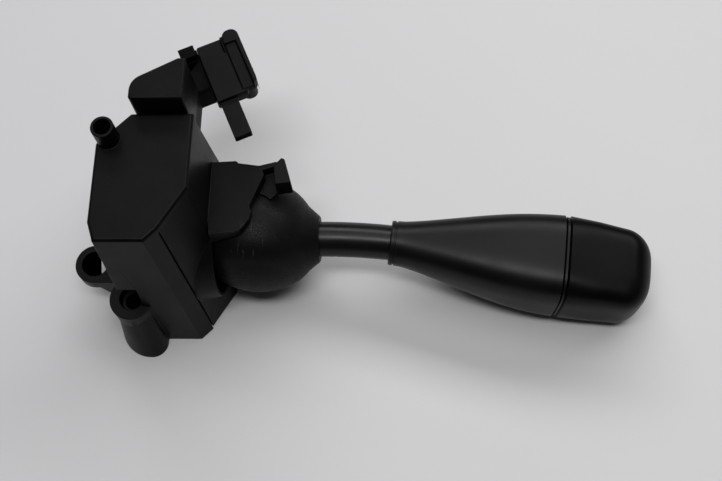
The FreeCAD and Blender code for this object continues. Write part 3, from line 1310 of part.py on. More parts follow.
strips = []
BOARD_X = "(pivot_x - guide_back - board_thick / 2 - press_gap)"
BOARD_TOP = "(pivot_z + board_high + press_gap)"
for index, v in enumerate(blade_v):
    x = f"(lead_first_x + {index} * lead_pitch)"
    y = f"(lead_first_y - {index} * lead_pitch)"
    half = "lead_width / 2"
    level = ("lead_level - lead_thick", "lead_level")
    riser = plain_box(f"riser_{index}", (f"{BOARD_X} - lead_thick / 2", f"{BOARD_X} + lead_thick / 2"),
                      (f"{y} - {half}", f"{y} + {half}"), (BOARD_TOP, "lead_level"))
    inner = plain_box(f"inner_run_{index}", (f"{BOARD_X} - lead_thick / 2", f"{x} + {half}"),
                      (f"{y} - {half}", f"{y} + {half}"), level)
    turn_y = on_v(x, v)[1]
    outward = plain_box(f"outward_run_{index}", (f"{x} - {half}", f"{x} + {half}"),
                        (f"{y} - {half}", turn_y), level)
    last = doc.addObject("Part::Box", f"last_run_{index}")
    start_u = f"(({x}) * cos(turn) + ({turn_y}) * sin(turn) - lead_width / 2)"
    last.setExpression("Length", bound(f"blade_start - press_gap - {start_u}"))
    last.setExpression("Width", bound("lead_width"))
    last.setExpression("Height", bound("lead_thick"))
    corner_x, corner_y = turned(start_u, f"{v} - lead_width / 2")
    place(last, corner_x, corner_y, "lead_level - lead_thick", angle="turn")
    strips += [riser, inner, outward, last]
group("lead_strips", strips)

# Raised block: hollow hood over the leads behind the top plate
hood = new_body("terminal_cover")
hood_low = "arm_top + lid_thick + 2 * press_gap"
hood_flat = sketch(hood, "hood_outline", "XY_Plane", hood_low)
hood_sides = [("block_left", f"{ARM_FACE} + fit_gap"), ("block_right", f"{ARM_FACE} + fit_gap"),
              ("block_right", "block_rear"), ("block_right - 1.8", "block_rear"),
              ("block_left", "block_left_rear")]
hood_radii = ["0.8", "0.5", "0.5", "1.5", "block_corner"]
rounded(hood_flat, hood_sides, hood_radii)
pad(hood, "hood", hood_flat, f"block_top - ({hood_low})")
hollow_flat = sketch(hood, "hood_hollow_outline", "XY_Plane", f"{hood_low} - 1")
outline(hollow_flat, [
    ("block_left + block_wall", f"{ARM_FACE} + block_wall"),
    ("block_right - block_wall", f"{ARM_FACE} + block_wall"),
    ("block_right - block_wall", "block_rear - 2 * block_wall"),
    ("block_left + block_wall + 1.5", "block_left_rear - block_wall * 0.4"),
    ("block_left + block_wall", "block_left_rear - 2 * block_wall"),
])
pocket(hood, "hood_hollow", hollow_flat, f"block_top - block_wall - ({hood_low}) + 1", ahead=True)

# Checks and export
doc.recompute()
for thing in doc.Objects:
    if "Invalid" in thing.State or "Error" in thing.State:
        raise SystemExit(f"{thing.Label} failed: {thing.State}")
for node in NODES:
    if node.Shape.isNull() or not node.Shape.isValid():
        raise SystemExit(f"{node.Label} has no sound solid")
os.makedirs("parts", exist_ok=True)
for node in NODES:
    node.Shape.exportStep(f"parts/{node.Label}.step")
    print(f"{node.Label}: {len(node.Shape.Solids)} solids, {node.Shape.Volume:.1f} mm3")
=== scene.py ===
import math

import bmesh
import bpy
from mathutils import Matrix, Vector


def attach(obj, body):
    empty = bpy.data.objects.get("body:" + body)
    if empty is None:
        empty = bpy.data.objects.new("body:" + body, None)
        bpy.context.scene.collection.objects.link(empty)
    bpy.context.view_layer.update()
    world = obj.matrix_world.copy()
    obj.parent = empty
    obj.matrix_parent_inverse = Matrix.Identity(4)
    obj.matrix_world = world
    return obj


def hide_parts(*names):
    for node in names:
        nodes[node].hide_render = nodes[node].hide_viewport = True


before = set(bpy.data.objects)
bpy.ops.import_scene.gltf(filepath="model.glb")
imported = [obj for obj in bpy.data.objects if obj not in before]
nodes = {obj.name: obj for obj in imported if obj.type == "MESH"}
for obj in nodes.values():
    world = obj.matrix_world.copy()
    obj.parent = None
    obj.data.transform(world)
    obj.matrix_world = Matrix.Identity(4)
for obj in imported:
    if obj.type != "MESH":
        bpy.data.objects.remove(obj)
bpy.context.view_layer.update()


# Camera: hand-held above the bench, looking steeply down on the switch from the front,
# with the base plane of the case as the bench.
lens = bpy.data.cameras.new("bench_camera")
lens.sensor_width = 36.0
lens.lens = 59.83
lens.clip_start = 0.01
camera = bpy.data.objects.new("bench_camera", lens)
bpy.context.scene.collection.objects.link(camera)
camera.matrix_world = Matrix((
    (0.99784, 0.00003, 0.06568, 0.07557),
    (0.02386, 0.93153, -0.36289, -0.09230),
    (-0.06119, 0.36367, 0.92951, 0.29534),
    (0.0, 0.0, 0.0, 1.0),
))
bpy.context.scene.camera = camera
bpy.context.scene.view_settings.view_transform = "Standard"


# Bench: pale matt board that the switch lies on. Its colour carries painted shade, a little darker to the
# left, and the faint cloudiness of painted board.
def feed(tree, node, inputs):
    """Sets a node's inputs, each to a value or to another node's output."""
    for label, value in inputs.items():
        socket = node.inputs[label.replace("_", " ")]
        if isinstance(value, bpy.types.NodeSocket):
            tree.links.new(value, socket)
        else:
            socket.default_value = value
    return node


def add(tree, kind, **inputs):
    """A new shader node with its inputs set."""
    return feed(tree, tree.nodes.new(kind), inputs)


def blend_colours(tree, amount, first, second):
    """A colour between two, by an amount from 0 to 1."""
    mix = tree.nodes.new("ShaderNodeMix")
    mix.data_type = "RGBA"
    return feed(tree, mix, {"Factor": amount, "A": first, "B": second}).outputs["Result"]


BENCH_HALF = 3.0
bench_mesh = bpy.data.meshes.new("bench")
bench_form = bmesh.new()
bmesh.ops.create_grid(bench_form, x_segments=1, y_segments=1, size=BENCH_HALF)
bench_form.to_mesh(bench_mesh)
bench_form.free()
bench = bpy.data.objects.new("bench", bench_mesh)
bpy.context.scene.collection.objects.link(bench)
board_paint = bpy.data.materials.new("matt_board")
board_paint.use_nodes = True
board_tree = board_paint.node_tree
board_place = add(board_tree, "ShaderNodeTexCoord").outputs["Object"]
board_split = add(board_tree, "ShaderNodeSeparateXYZ", Vector=board_place)
# Painted shade: the board's colour darkens towards the left, as if less light falls there.
board_shade_ramp = add(board_tree, "ShaderNodeMapRange", Value=board_split.outputs["X"], From_Min=-0.05,
                 From_Max=0.12)
board_cloud = add(board_tree, "ShaderNodeTexNoise", Vector=board_place, Scale=14.0, Detail=4.0)
board_shaded_base = blend_colours(board_tree, board_shade_ramp.outputs["Result"], (0.62, 0.61, 0.63, 1.0),
                           (0.70, 0.69, 0.70, 1.0))
board_tint_and_shade = blend_colours(board_tree, board_cloud.outputs["Fac"], board_shaded_base, (0.66, 0.66, 0.67, 1.0))
feed(board_tree, board_tree.nodes["Principled BSDF"],
     {"Base Color": board_tint_and_shade, "Roughness": 0.75, "Specular IOR Level": 0.25})
bench_mesh.materials.append(board_paint)


# Light: a wide window high behind the bench, a soft ceiling panel and a narrow ceiling lamp, in a dim room
# that only the camera sees as pale.
room = bpy.data.worlds.new("room")
room.use_nodes = True
bpy.context.scene.world = room
room_tree = room.node_tree
DIM_ROOM, PALE_BACKGROUND = 0.04, 0.85
room_path = add(room_tree, "ShaderNodeLightPath")
room_mix = add(room_tree, "ShaderNodeMapRange", Value=room_path.outputs["Is Camera Ray"], To_Min=DIM_ROOM,
               To_Max=PALE_BACKGROUND)
feed(room_tree, room_tree.nodes["Background"],
     {"Color": (1.0, 1.0, 1.0, 1.0), "Strength": room_mix.outputs["Result"]})


def soft_lamp(name, place, aim, width, height, power):
    """A rectangular soft lamp at a place, turned towards the point it lights."""
    light = bpy.data.lights.new(name, "AREA")
    light.shape = "RECTANGLE"
    light.size = width
    light.size_y = height
    light.energy = power
    lamp = bpy.data.objects.new(name, light)
    lamp.location = place
    lamp.rotation_euler = (Vector(aim) - Vector(place)).to_track_quat("-Z", "Y").to_euler()
    bpy.context.scene.collection.objects.link(lamp)


soft_lamp("window", place=(0.30, 0.80, 0.80), aim=(0.05, 0.02, 0.0), width=1.80, height=0.32, power=9.2)
soft_lamp("ceiling_panel", place=(0.06, 0.14, 0.90), aim=(0.06, 0.0, 0.0), width=0.90, height=0.60,
          power=2.4)
soft_lamp("ceiling_lamp", place=(0.06, -0.09, 0.85), aim=(0.06, 0.0, 0.0), width=0.50, height=0.12,
          power=2.3)


# Main case: deep satin black shell of glass-filled nylon with the top plate, the low screw pillar, the
# upper screw tube and the ear. The mould leaves a fine spark-eroded grain and slightly rounded edges.
def new_group(name, inputs, outputs):
    """An empty shader node group with its named sockets, and its two end nodes."""
    tree = bpy.data.node_groups.new(name, "ShaderNodeTree")
    for label, kind in inputs:
        tree.interface.new_socket(name=label, in_out="INPUT", socket_type=kind)
    for label, kind in outputs:
        tree.interface.new_socket(name=label, in_out="OUTPUT", socket_type=kind)
    return tree, tree.nodes.new("NodeGroupInput"), tree.nodes.new("NodeGroupOutput")


def placed(tree, group, **inputs):
    """A node group set into a material with its own values."""
    node = tree.nodes.new("ShaderNodeGroup")
    node.node_tree = group
    return feed(tree, node, inputs)


def calc(tree, operation, first, second):
    """The result of one sum on two values, each a number or another node's output."""
    node = tree.nodes.new("ShaderNodeMath")
    node.operation = operation
    for socket, value in zip(node.inputs, (first, second)):
        if isinstance(value, bpy.types.NodeSocket):
            tree.links.new(value, socket)
        else:
            socket.default_value = value
    return node.outputs["Value"]


grain, grain_in, grain_out = new_group(
    "mould_grain", [("Grain Size", "NodeSocketFloat"), ("Depth", "NodeSocketFloat")],
    [("Normal", "NodeSocketVector"), ("Tone", "NodeSocketFloat")])
grain_place = add(grain, "ShaderNodeTexCoord").outputs["Object"]
grain_scale = calc(grain, "DIVIDE", 1.0, grain_in.outputs["Grain Size"])
grain_fine = add(grain, "ShaderNodeTexNoise", Vector=grain_place, Scale=grain_scale, Detail=3.0,
                 Roughness=0.6)
grain_bump = add(grain, "ShaderNodeBump", Strength=1.0, Distance=grain_in.outputs["Depth"],
                 Height=grain_fine.outputs["Fac"])
grain_flow = add(grain, "ShaderNodeTexNoise", Vector=grain_place, Scale=90.0, Detail=6.0, Roughness=0.62)
grain_tone = add(grain, "ShaderNodeMapRange", Value=grain_flow.outputs["Fac"], From_Min=0.32, From_Max=0.70)
feed(grain, grain_out, {"Normal": grain_bump.outputs["Normal"], "Tone": grain_tone.outputs["Result"]})

wear, wear_in, wear_out = new_group(
    "edge_wear", [("Width", "NodeSocketFloat"), ("Amount", "NodeSocketFloat")],
    [("Mask", "NodeSocketFloat")])
wear_round = add(wear, "ShaderNodeBevel", Radius=wear_in.outputs["Width"])
wear_round.samples = 6
wear_flat = add(wear, "ShaderNodeNewGeometry")
wear_dot = wear.nodes.new("ShaderNodeVectorMath")
wear_dot.operation = "DOT_PRODUCT"
wear.links.new(wear_round.outputs["Normal"], wear_dot.inputs[0])
wear.links.new(wear_flat.outputs["Normal"], wear_dot.inputs[1])
wear_edge = add(wear, "ShaderNodeMapRange", Value=wear_dot.outputs["Value"], From_Min=0.99, From_Max=0.80)
wear_place = add(wear, "ShaderNodeTexCoord").outputs["Object"]
wear_patch = add(wear, "ShaderNodeTexNoise", Vector=wear_place, Scale=420.0, Detail=5.0, Roughness=0.7)
wear_break = add(wear, "ShaderNodeMapRange", Value=wear_patch.outputs["Fac"], From_Min=0.38, From_Max=0.66)
wear_join = calc(wear, "MULTIPLY", wear_edge.outputs["Result"], wear_break.outputs["Result"])
feed(wear, wear_out, {"Mask": calc(wear, "MULTIPLY", wear_join, wear_in.outputs["Amount"])})

marks, marks_in, marks_out = new_group(
    "handling_marks", [("Turn", "NodeSocketVector"), ("Amount", "NodeSocketFloat")],
    [("Mask", "NodeSocketFloat")])
marks_place = add(marks, "ShaderNodeTexCoord").outputs["Object"]
marks_turn = add(marks, "ShaderNodeMapping", Vector=marks_place, Rotation=marks_in.outputs["Turn"],
                 Scale=(900.0, 110.0, 300.0))
marks_line = add(marks, "ShaderNodeTexNoise", Vector=marks_turn.outputs["Vector"], Scale=1.0, Detail=3.0)
marks_thin = add(marks, "ShaderNodeMapRange", Value=marks_line.outputs["Fac"], From_Min=0.63, From_Max=0.72)
marks_area = add(marks, "ShaderNodeTexNoise", Vector=marks_place, Scale=75.0, Detail=2.0)
marks_only = add(marks, "ShaderNodeMapRange", Value=marks_area.outputs["Fac"], From_Min=0.50, From_Max=0.62)
marks_join = calc(marks, "MULTIPLY", marks_thin.outputs["Result"], marks_only.outputs["Result"])
feed(marks, marks_out, {"Mask": calc(marks, "MULTIPLY", marks_join, marks_in.outputs["Amount"])})

WORN_WIDTH = 0.00035


def black_plastic(name, dark, light, worn, roughness, shine, grain_size, depth, wear_amount, mark_amount,
                  mark_turn=(0.0, 0.0, 0.4)):
    """Moulded black plastic: a broad change of tone, fine grain, pale worn edges and light scuffs."""
    material = bpy.data.materials.new(name)
    material.use_nodes = True
    tree = material.node_tree
    surface = placed(tree, grain, Grain_Size=grain_size, Depth=depth)
    edges = placed(tree, wear, Width=WORN_WIDTH, Amount=wear_amount)
    scuffs = placed(tree, marks, Turn=mark_turn, Amount=mark_amount)
    tone = blend_colours(tree, surface.outputs["Tone"], (*dark, 1.0), (*light, 1.0))
    mask = calc(tree, "MAXIMUM", edges.outputs["Mask"], scuffs.outputs["Mask"])
    colour = blend_colours(tree, mask, tone, (*worn, 1.0))
    gloss = add(tree, "ShaderNodeMapRange", Value=surface.outputs["Tone"], To_Min=roughness - 0.05,
                To_Max=roughness + 0.06)
    feed(tree, tree.nodes["Principled BSDF"],
         {"Base Color": colour, "Roughness": gloss.outputs["Result"], "Specular IOR Level": shine,
          "Normal": surface.outputs["Normal"]})
    return material


case_black = black_plastic(
    "case_black", dark=(0.0018, 0.0018, 0.0020), light=(0.0032, 0.0032, 0.0034), worn=(0.030, 0.030, 0.031),
    roughness=0.40, shine=0.10, grain_size=0.00022, depth=0.00003, wear_amount=0.5, mark_amount=0.08)

# Edges sharper than this many degrees are rounded and break the shading
CREASE = 19.0
SAME_PLACE, SAME_PLANE = 0.000002, 0.4


def as_piece(form, name, material, body, replaced):
    """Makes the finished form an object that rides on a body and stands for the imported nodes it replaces."""
    mesh = bpy.data.meshes.new(name)
    form.to_mesh(mesh)
    form.free()
    for face in mesh.polygons:
        face.use_smooth = True
    mesh.set_sharp_from_angle(angle=math.radians(CREASE))
    mesh.materials.append(material)
    piece = bpy.data.objects.new(name, mesh)
    bpy.context.scene.collection.objects.link(piece)
    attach(piece, body)
    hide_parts(*replaced)
    return piece


def round_edges(piece, width):
    """Rounds every sharp edge as the mould leaves it, and keeps the shading of the broad faces flat."""
    soft = piece.modifiers.new("rounded_edges", "BEVEL")
    soft.width = width
    soft.segments = 2
    soft.limit_method = "ANGLE"
    soft.angle_limit = math.radians(CREASE)
    soft.use_clamp_overlap = False
    flat = piece.modifiers.new("broad_faces_flat", "WEIGHTED_NORMAL")
    flat.weight = 100
    flat.keep_sharp = False


def moulded_copy(node, name, material, body, edge):
    """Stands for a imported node: its merged copy with whole flat faces and rounded edges."""
    form = bmesh.new()
    form.from_mesh(nodes[node].data)
    bmesh.ops.remove_doubles(form, verts=form.verts, dist=SAME_PLACE)
    bmesh.ops.dissolve_limit(form, angle_limit=math.radians(SAME_PLANE), verts=form.verts, edges=form.edges)
    round_edges(as_piece(form, name, material, body, (node,)), edge)


moulded_copy("main_case", "case_shell", case_black, "case", edge=0.00022)


# Base cover and its screws: flat lid of the same nylon inside the walls of the case, held by three plated
# screws. The screws of the slider guide have the same finish.
def dress(names, material):
    """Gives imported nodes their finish."""
    for name in names:
        for slot in nodes[name].material_slots:
            slot.material = material


def plated(name, tint, stain, roughness, brush):
    """Metal with a stretched brush grain and a slight stain."""
    material = bpy.data.materials.new(name)
    material.use_nodes = True
    tree = material.node_tree
    place = add(tree, "ShaderNodeTexCoord").outputs["Object"]
    along = add(tree, "ShaderNodeMapping", Vector=place, Scale=brush)
    lines = add(tree, "ShaderNodeTexNoise", Vector=along.outputs["Vector"], Scale=1.0, Detail=4.0)
    cloud = add(tree, "ShaderNodeTexNoise", Vector=place, Scale=260.0, Detail=4.0)
    colour = blend_colours(tree, cloud.outputs["Fac"], (*tint, 1.0), (*stain, 1.0))
    gloss = add(tree, "ShaderNodeMapRange", Value=lines.outputs["Fac"], To_Min=roughness - 0.1,
                To_Max=roughness + 0.12)
    relief = add(tree, "ShaderNodeBump", Distance=0.00001, Height=lines.outputs["Fac"])
    feed(tree, tree.nodes["Principled BSDF"],
         {"Base Color": colour, "Metallic": 1.0, "Roughness": gloss.outputs["Result"],
          "Normal": relief.outputs["Normal"]})
    return material


moulded_copy("base_cover", "base_lid", case_black, "case", edge=0.0002)
zinc_steel = plated("zinc_plated_steel", tint=(0.62, 0.63, 0.65), stain=(0.48, 0.49, 0.50), roughness=0.34,
                    brush=(400.0, 400.0, 4000.0))
dress(["base_screws", "guide_screws"], zinc_steel)


# Lever carrier: second black nylon moulding with the diagonal wall, the collar round the ball and the guide
# plate above it. It closes the right side of the case at a stepped seam, the dark line down the front.
carrier_black = black_plastic(
    "carrier_black", dark=(0.0022, 0.0024, 0.0025), light=(0.0042, 0.0044, 0.0045),
    worn=(0.060, 0.060, 0.062), roughness=0.38, shine=0.10, grain_size=0.00025, depth=0.00003,
    wear_amount=0.6, mark_amount=0.25)
moulded_copy("lever_carrier", "carrier_shell", carrier_black, "case", edge=0.00022)


# Gimbal and sliders: acetal cradle on two upright steel pins, the acetal lever hub on its cross pin, and the
# two sliders in their guide, centred by hairpin springs of steel wire.
acetal = bpy.data.materials.new("natural_acetal")
acetal.use_nodes = True
acetal_tree = acetal.node_tree
acetal_skin = placed(acetal_tree, grain, Grain_Size=0.00018, Depth=0.000012)
acetal_edge = placed(acetal_tree, wear, Width=0.0003, Amount=0.5)
acetal_tone = blend_colours(acetal_tree, acetal_skin.outputs["Tone"], (0.74, 0.72, 0.66, 1.0),
                            (0.82, 0.80, 0.75, 1.0))
acetal_tint = blend_colours(acetal_tree, acetal_edge.outputs["Mask"], acetal_tone, (0.88, 0.87, 0.84, 1.0))
feed(acetal_tree, acetal_tree.nodes["Principled BSDF"],
     {"Base Color": acetal_tint, "Roughness": 0.38, "Normal": acetal_skin.outputs["Normal"]})
ground_steel = plated("ground_steel", tint=(0.58, 0.58, 0.60), stain=(0.52, 0.51, 0.50), roughness=0.24,
                      brush=(300.0, 5000.0, 5000.0))
spring_wire = plated("spring_wire", tint=(0.50, 0.50, 0.52), stain=(0.40, 0.39, 0.38), roughness=0.28,
                     brush=(3000.0, 3000.0, 600.0))
dress(["cradle", "lever_hub", "slider_guide", "reach_slider", "tilt_slider"], acetal)
dress(["cradle_pins", "lever_pin", "rod_pin", "grip_washer", "grip_screw"], ground_steel)
dress(["reach_spring", "tilt_spring"], spring_wire)


# Ball cap: thin black moulded shell with a leather-like grain that swings in the collar. Its nose is a cone
# that sits round the rod, and its front half is drawn in towards the lever's axis.
PIVOT = Vector((0.0300, 0.0170, 0.0163))
BALL, SHELL, RIM, NOSE_TAPER = 0.0152, 0.0140, 0.0097, math.radians(33.0)
NOSE_END, NOSE_RADIUS, ROD_BORE = 0.0156, 0.0060, 0.00445
FRONT_FLATTER, ARC_STEPS, TURN_STEPS = 0.14, 30, 96


def extend(form, last, x, radius):
    """Draws the profile on to the next corner, at x along the lever's axis and a radius from it."""
    corner = bmesh.ops.extrude_vert_indiv(form, verts=[last])["verts"][0]
    corner.co = PIVOT + Vector((x, 0.0, radius))
    return corner


def sweep_arc(form, last, angle):
    """Carries the profile round the pivot and gives its new end."""
    turned = bmesh.ops.spin(form, geom=[last], cent=PIVOT, axis=(0.0, 1.0, 0.0), angle=angle,
                            steps=ARC_STEPS)
    return [part for part in turned["geom_last"] if isinstance(part, bmesh.types.BMVert)][0]


dome = bmesh.new()
rim_angle = math.acos(-RIM / BALL)
inner_rim = math.acos(-RIM / SHELL)
inner_nose = NOSE_TAPER * 0.8
end = dome.verts.new(PIVOT + Vector((BALL * math.cos(rim_angle), 0.0, BALL * math.sin(rim_angle))))
end = sweep_arc(dome, end, rim_angle - NOSE_TAPER)
for x, radius in ((0.0153, NOSE_RADIUS), (NOSE_END, 0.0057), (NOSE_END, ROD_BORE), (0.0119, ROD_BORE),
                  (0.0119, 0.0062), (SHELL * math.cos(inner_nose), SHELL * math.sin(inner_nose))):
    end = extend(dome, end, x, radius)
end = sweep_arc(dome, end, inner_nose - inner_rim)
extend(dome, end, BALL * math.cos(rim_angle), BALL * math.sin(rim_angle))
bmesh.ops.spin(dome, geom=dome.verts[:] + dome.edges[:], cent=PIVOT, axis=(1.0, 0.0, 0.0), angle=math.tau,
               steps=TURN_STEPS, use_merge=True)
bmesh.ops.remove_doubles(dome, verts=dome.verts, dist=0.00001)
for corner in dome.verts:
    side = PIVOT.y - corner.co.y
    if side > NOSE_RADIUS:
        corner.co.y += side * FRONT_FLATTER * min(1.0, side / NOSE_RADIUS - 1.0)
bmesh.ops.recalc_face_normals(dome, faces=dome.faces)

leather = bpy.data.materials.new("leather_grain_black")
leather.use_nodes = True
leather_tree = leather.node_tree
leather_place = add(leather_tree, "ShaderNodeTexCoord").outputs["Object"]
leather_cells = leather_tree.nodes.new("ShaderNodeTexVoronoi")
leather_cells.feature = "DISTANCE_TO_EDGE"
feed(leather_tree, leather_cells, {"Vector": leather_place, "Scale": 1500.0, "Randomness": 1.0})
leather_crease = add(leather_tree, "ShaderNodeMapRange", Value=leather_cells.outputs["Distance"],
                     From_Max=0.22)
leather_relief = add(leather_tree, "ShaderNodeBump", Strength=1.0, Distance=0.000012,
                     Height=leather_crease.outputs["Result"])
leather_tone = add(leather_tree, "ShaderNodeTexNoise", Vector=leather_place, Scale=110.0, Detail=5.0)
leather_scuff = placed(leather_tree, marks, Turn=(0.0, 0.0, 0.35), Amount=0.35)
leather_edge = placed(leather_tree, wear, Width=0.0004, Amount=0.5)
leather_base = blend_colours(leather_tree, leather_tone.outputs["Fac"], (0.0020, 0.0022, 0.0023, 1.0),
                             (0.0040, 0.0042, 0.0043, 1.0))
leather_mask = calc(leather_tree, "MAXIMUM", leather_scuff.outputs["Mask"], leather_edge.outputs["Mask"])
leather_colour = blend_colours(leather_tree, leather_mask, leather_base, (0.085, 0.09, 0.092, 1.0))
leather_gloss = add(leather_tree, "ShaderNodeMapRange", Value=leather_crease.outputs["Result"], To_Min=0.62,
                    To_Max=0.42)
feed(leather_tree, leather_tree.nodes["Principled BSDF"],
     {"Base Color": leather_colour, "Roughness": leather_gloss.outputs["Result"], "Specular IOR Level": 0.12,
      "Normal": leather_relief.outputs["Normal"]})
as_piece(dome, "ball_cap", leather, "lever", ("dome_cap",))


# Rod: smooth satin black stalk with a gentle bend. Its thin tang is pinned in the hub, and the grip slides
# over its straight tail.
ROD_RADIUS, ROD_START, ROD_STRAIGHT, ROD_TAIL = 0.0044, 0.0116, 0.0160, 0.0300
TANG_RADIUS, TANG_START = 0.0025, 0.0048
BEND_RADIUS, BEND, ROLL, BEND_STEPS = 0.156, math.radians(7.2), math.radians(40.0), 16


def open_ring(edges, form, shift):
    """Draws an open ring of edges out into a new ring, moved by a matrix, and gives the new ring's edges."""
    geom = bmesh.ops.extrude_edge_only(form, edges=edges)["geom"]
    fresh = [part for part in geom if isinstance(part, bmesh.types.BMVert)]
    bmesh.ops.transform(form, matrix=shift, verts=fresh)
    return [part for part in geom if isinstance(part, bmesh.types.BMEdge) and part.is_boundary]


rod = bmesh.new()
across = Matrix.Rotation(math.radians(90.0), 4, "Y")
bmesh.ops.create_circle(rod, cap_ends=True, radius=TANG_RADIUS, segments=64,
                        matrix=Matrix.Translation(PIVOT + Vector((TANG_START, 0.0, 0.0))) @ across)
ring = [edge for edge in rod.edges if edge.is_boundary]
ring = open_ring(ring, rod, Matrix.Translation((ROD_START - TANG_START, 0.0, 0.0)))
widen = Matrix.Diagonal((1.0, ROD_RADIUS / TANG_RADIUS, ROD_RADIUS / TANG_RADIUS, 1.0))
ring = open_ring(ring, rod, Matrix.Translation(PIVOT) @ widen @ Matrix.Translation(-PIVOT))
ring = open_ring(ring, rod, Matrix.Translation((ROD_STRAIGHT - ROD_START, 0.0, 0.0)))
bend_side = Vector((0.0, math.cos(ROLL), math.sin(ROLL)))
bend_axis = Vector((0.0, -math.sin(ROLL), math.cos(ROLL)))
bend_middle = PIVOT + Vector((ROD_STRAIGHT, 0.0, 0.0)) - bend_side * BEND_RADIUS
turn = Matrix.Rotation(-BEND / BEND_STEPS, 4, bend_axis)
for step in range(BEND_STEPS):
    ring = open_ring(ring, rod, Matrix.Translation(bend_middle) @ turn @ Matrix.Translation(-bend_middle))
whole_turn = Matrix.Rotation(-BEND, 4, bend_axis)
grip_place = Matrix.Translation(bend_middle) @ whole_turn @ Matrix.Translation(bend_side * BEND_RADIUS)
tail_way = Matrix.Rotation(-BEND, 3, bend_axis) @ Vector((1.0, 0.0, 0.0))
ring = open_ring(ring, rod, Matrix.Translation(tail_way * ROD_TAIL))
bmesh.ops.holes_fill(rod, edges=ring)
bmesh.ops.recalc_face_normals(rod, faces=rod.faces)
rod_black = black_plastic(
    "rod_black", dark=(0.0026, 0.0027, 0.0028), light=(0.0038, 0.0039, 0.0040), worn=(0.04, 0.04, 0.042),
    roughness=0.33, shine=0.26, grain_size=0.0003, depth=0.000006, wear_amount=0.3, mark_amount=0.08)
rod_piece = as_piece(rod, "stalk", rod_black, "lever", ("lever_rod",))
round_edges(rod_piece, 0.0003)


# Grip: hollow satin black moulding, pulled onto the rod's tail by a screw and washer inside it. It swells
# from a round collar with a fine groove to a soft square at the seam.
NEAR, FAR, TOP, UNDER = 0.0123, 0.0107, 0.0103, 0.0120
COLLAR, GRIP_LENGTH, LIP = 0.0056, 0.0400, 0.0025
TAIL_STOP, CHAMBER, CHAMBER_END = ROD_TAIL - 0.0001, 0.0064, 0.022
SOCKET, CIRCLE, SQUARE = 0.0066, 2.0, 6.0
RING_VERTS, GRIP_STEPS = 112, 48


def soft_square(form, x, sides, power, edges=None):
    """A ring across the grip's axis at x, rounder or squarer by its power, drawn on from the last ring."""
    near, far, top, under = sides
    if edges is None:
        bmesh.ops.create_circle(form, segments=RING_VERTS, radius=1.0, matrix=across)
        edges = form.edges[:]
    else:
        edges = open_ring(edges, form, Matrix.Identity(4))
    for corner in {vert for edge in edges for vert in edge.verts}:
        angle = math.atan2(corner.co.z, corner.co.y)
        wide = far if math.cos(angle) > 0 else near
        tall = top if math.sin(angle) > 0 else under
        share = abs(math.cos(angle) / wide) ** power + abs(math.sin(angle) / tall) ** power
        reach = share ** (-1.0 / power)
        corner.co = Vector((x, reach * math.cos(angle), reach * math.sin(angle)))
    return edges


def evenly(size):
    """The same half size on all four sides."""
    return (size, size, size, size)


def swollen(x, less=0.0):
    """The grip's four half sizes at a distance from the collar."""
    share = math.sin(math.pi / 2 * x / GRIP_LENGTH) ** 1.3
    return tuple(COLLAR + (side - COLLAR) * share - less for side in (NEAR, FAR, TOP, UNDER))


def grip_power(x):
    """How square the grip is at a distance from the collar."""
    return 2.0 + 1.7 * (max(x, 0.0) / GRIP_LENGTH) ** 0.8


def close_loop(form):
    """Joins the last ring to the first, turns every face outwards and puts the form on the rod's tail."""
    bmesh.ops.remove_doubles(form, verts=form.verts, dist=0.000004)
    bmesh.ops.recalc_face_normals(form, faces=form.faces)
    bmesh.ops.transform(form, matrix=grip_place, verts=form.verts)


grip = bmesh.new()
loop = soft_square(grip, TAIL_STOP, evenly(ROD_BORE), CIRCLE)
for x, size in ((-LIP, ROD_BORE), (-LIP, 0.0053), (-LIP + 0.0003, COLLAR), (-0.0015, COLLAR),
                (-0.0014, 0.00535), (-0.0011, 0.00535), (-0.0010, COLLAR)):
    loop = soft_square(grip, x, evenly(size), CIRCLE, loop)
for step in range(1, GRIP_STEPS + 1):
    x = GRIP_LENGTH * step / GRIP_STEPS
    loop = soft_square(grip, min(x, GRIP_LENGTH - 0.0003), swollen(x), grip_power(x), loop)
loop = soft_square(grip, GRIP_LENGTH, swollen(GRIP_LENGTH, 0.0004), grip_power(GRIP_LENGTH), loop)
for x, size, power in ((GRIP_LENGTH, SOCKET, SQUARE), (CHAMBER_END, SOCKET, SQUARE),
                       (CHAMBER_END, CHAMBER, CIRCLE), (TAIL_STOP, CHAMBER, CIRCLE),
                       (TAIL_STOP, ROD_BORE, CIRCLE)):
    loop = soft_square(grip, x, evenly(size), power, loop)
close_loop(grip)
grip_black = black_plastic(
    "grip_black", dark=(0.0024, 0.0024, 0.0026), light=(0.0038, 0.0038, 0.0040), worn=(0.05, 0.05, 0.052),
    roughness=0.38, shine=0.19, grain_size=0.0003, depth=0.000010, wear_amount=0.2, mark_amount=0.08,
    mark_turn=(0.0, 0.0, 1.45))
as_piece(grip, "grip_shell", grip_black, "lever", ("knob_body",))


# Seam ring: thin ring of the grip's black plastic between grip and end cap. It stands a little lower than
# both, which leaves the dark line of the seam.
RING_AT, RING_WIDTH = GRIP_LENGTH + 0.00005, 0.0009
seam = bmesh.new()
loop = soft_square(seam, RING_AT, evenly(SOCKET), SQUARE)
for x, less in ((RING_AT, 0.0007), (RING_AT + 0.0002, 0.0003), (RING_AT + RING_WIDTH - 0.0002, 0.0003),
                (RING_AT + RING_WIDTH, 0.0007)):
    loop = soft_square(seam, x, swollen(GRIP_LENGTH, less), grip_power(GRIP_LENGTH), loop)
loop = soft_square(seam, RING_AT + RING_WIDTH, evenly(SOCKET), SQUARE, loop)
soft_square(seam, RING_AT, evenly(SOCKET), SQUARE, loop)
close_loop(seam)
as_piece(seam, "seam_band", grip_black, "lever", ("seam_ring",))


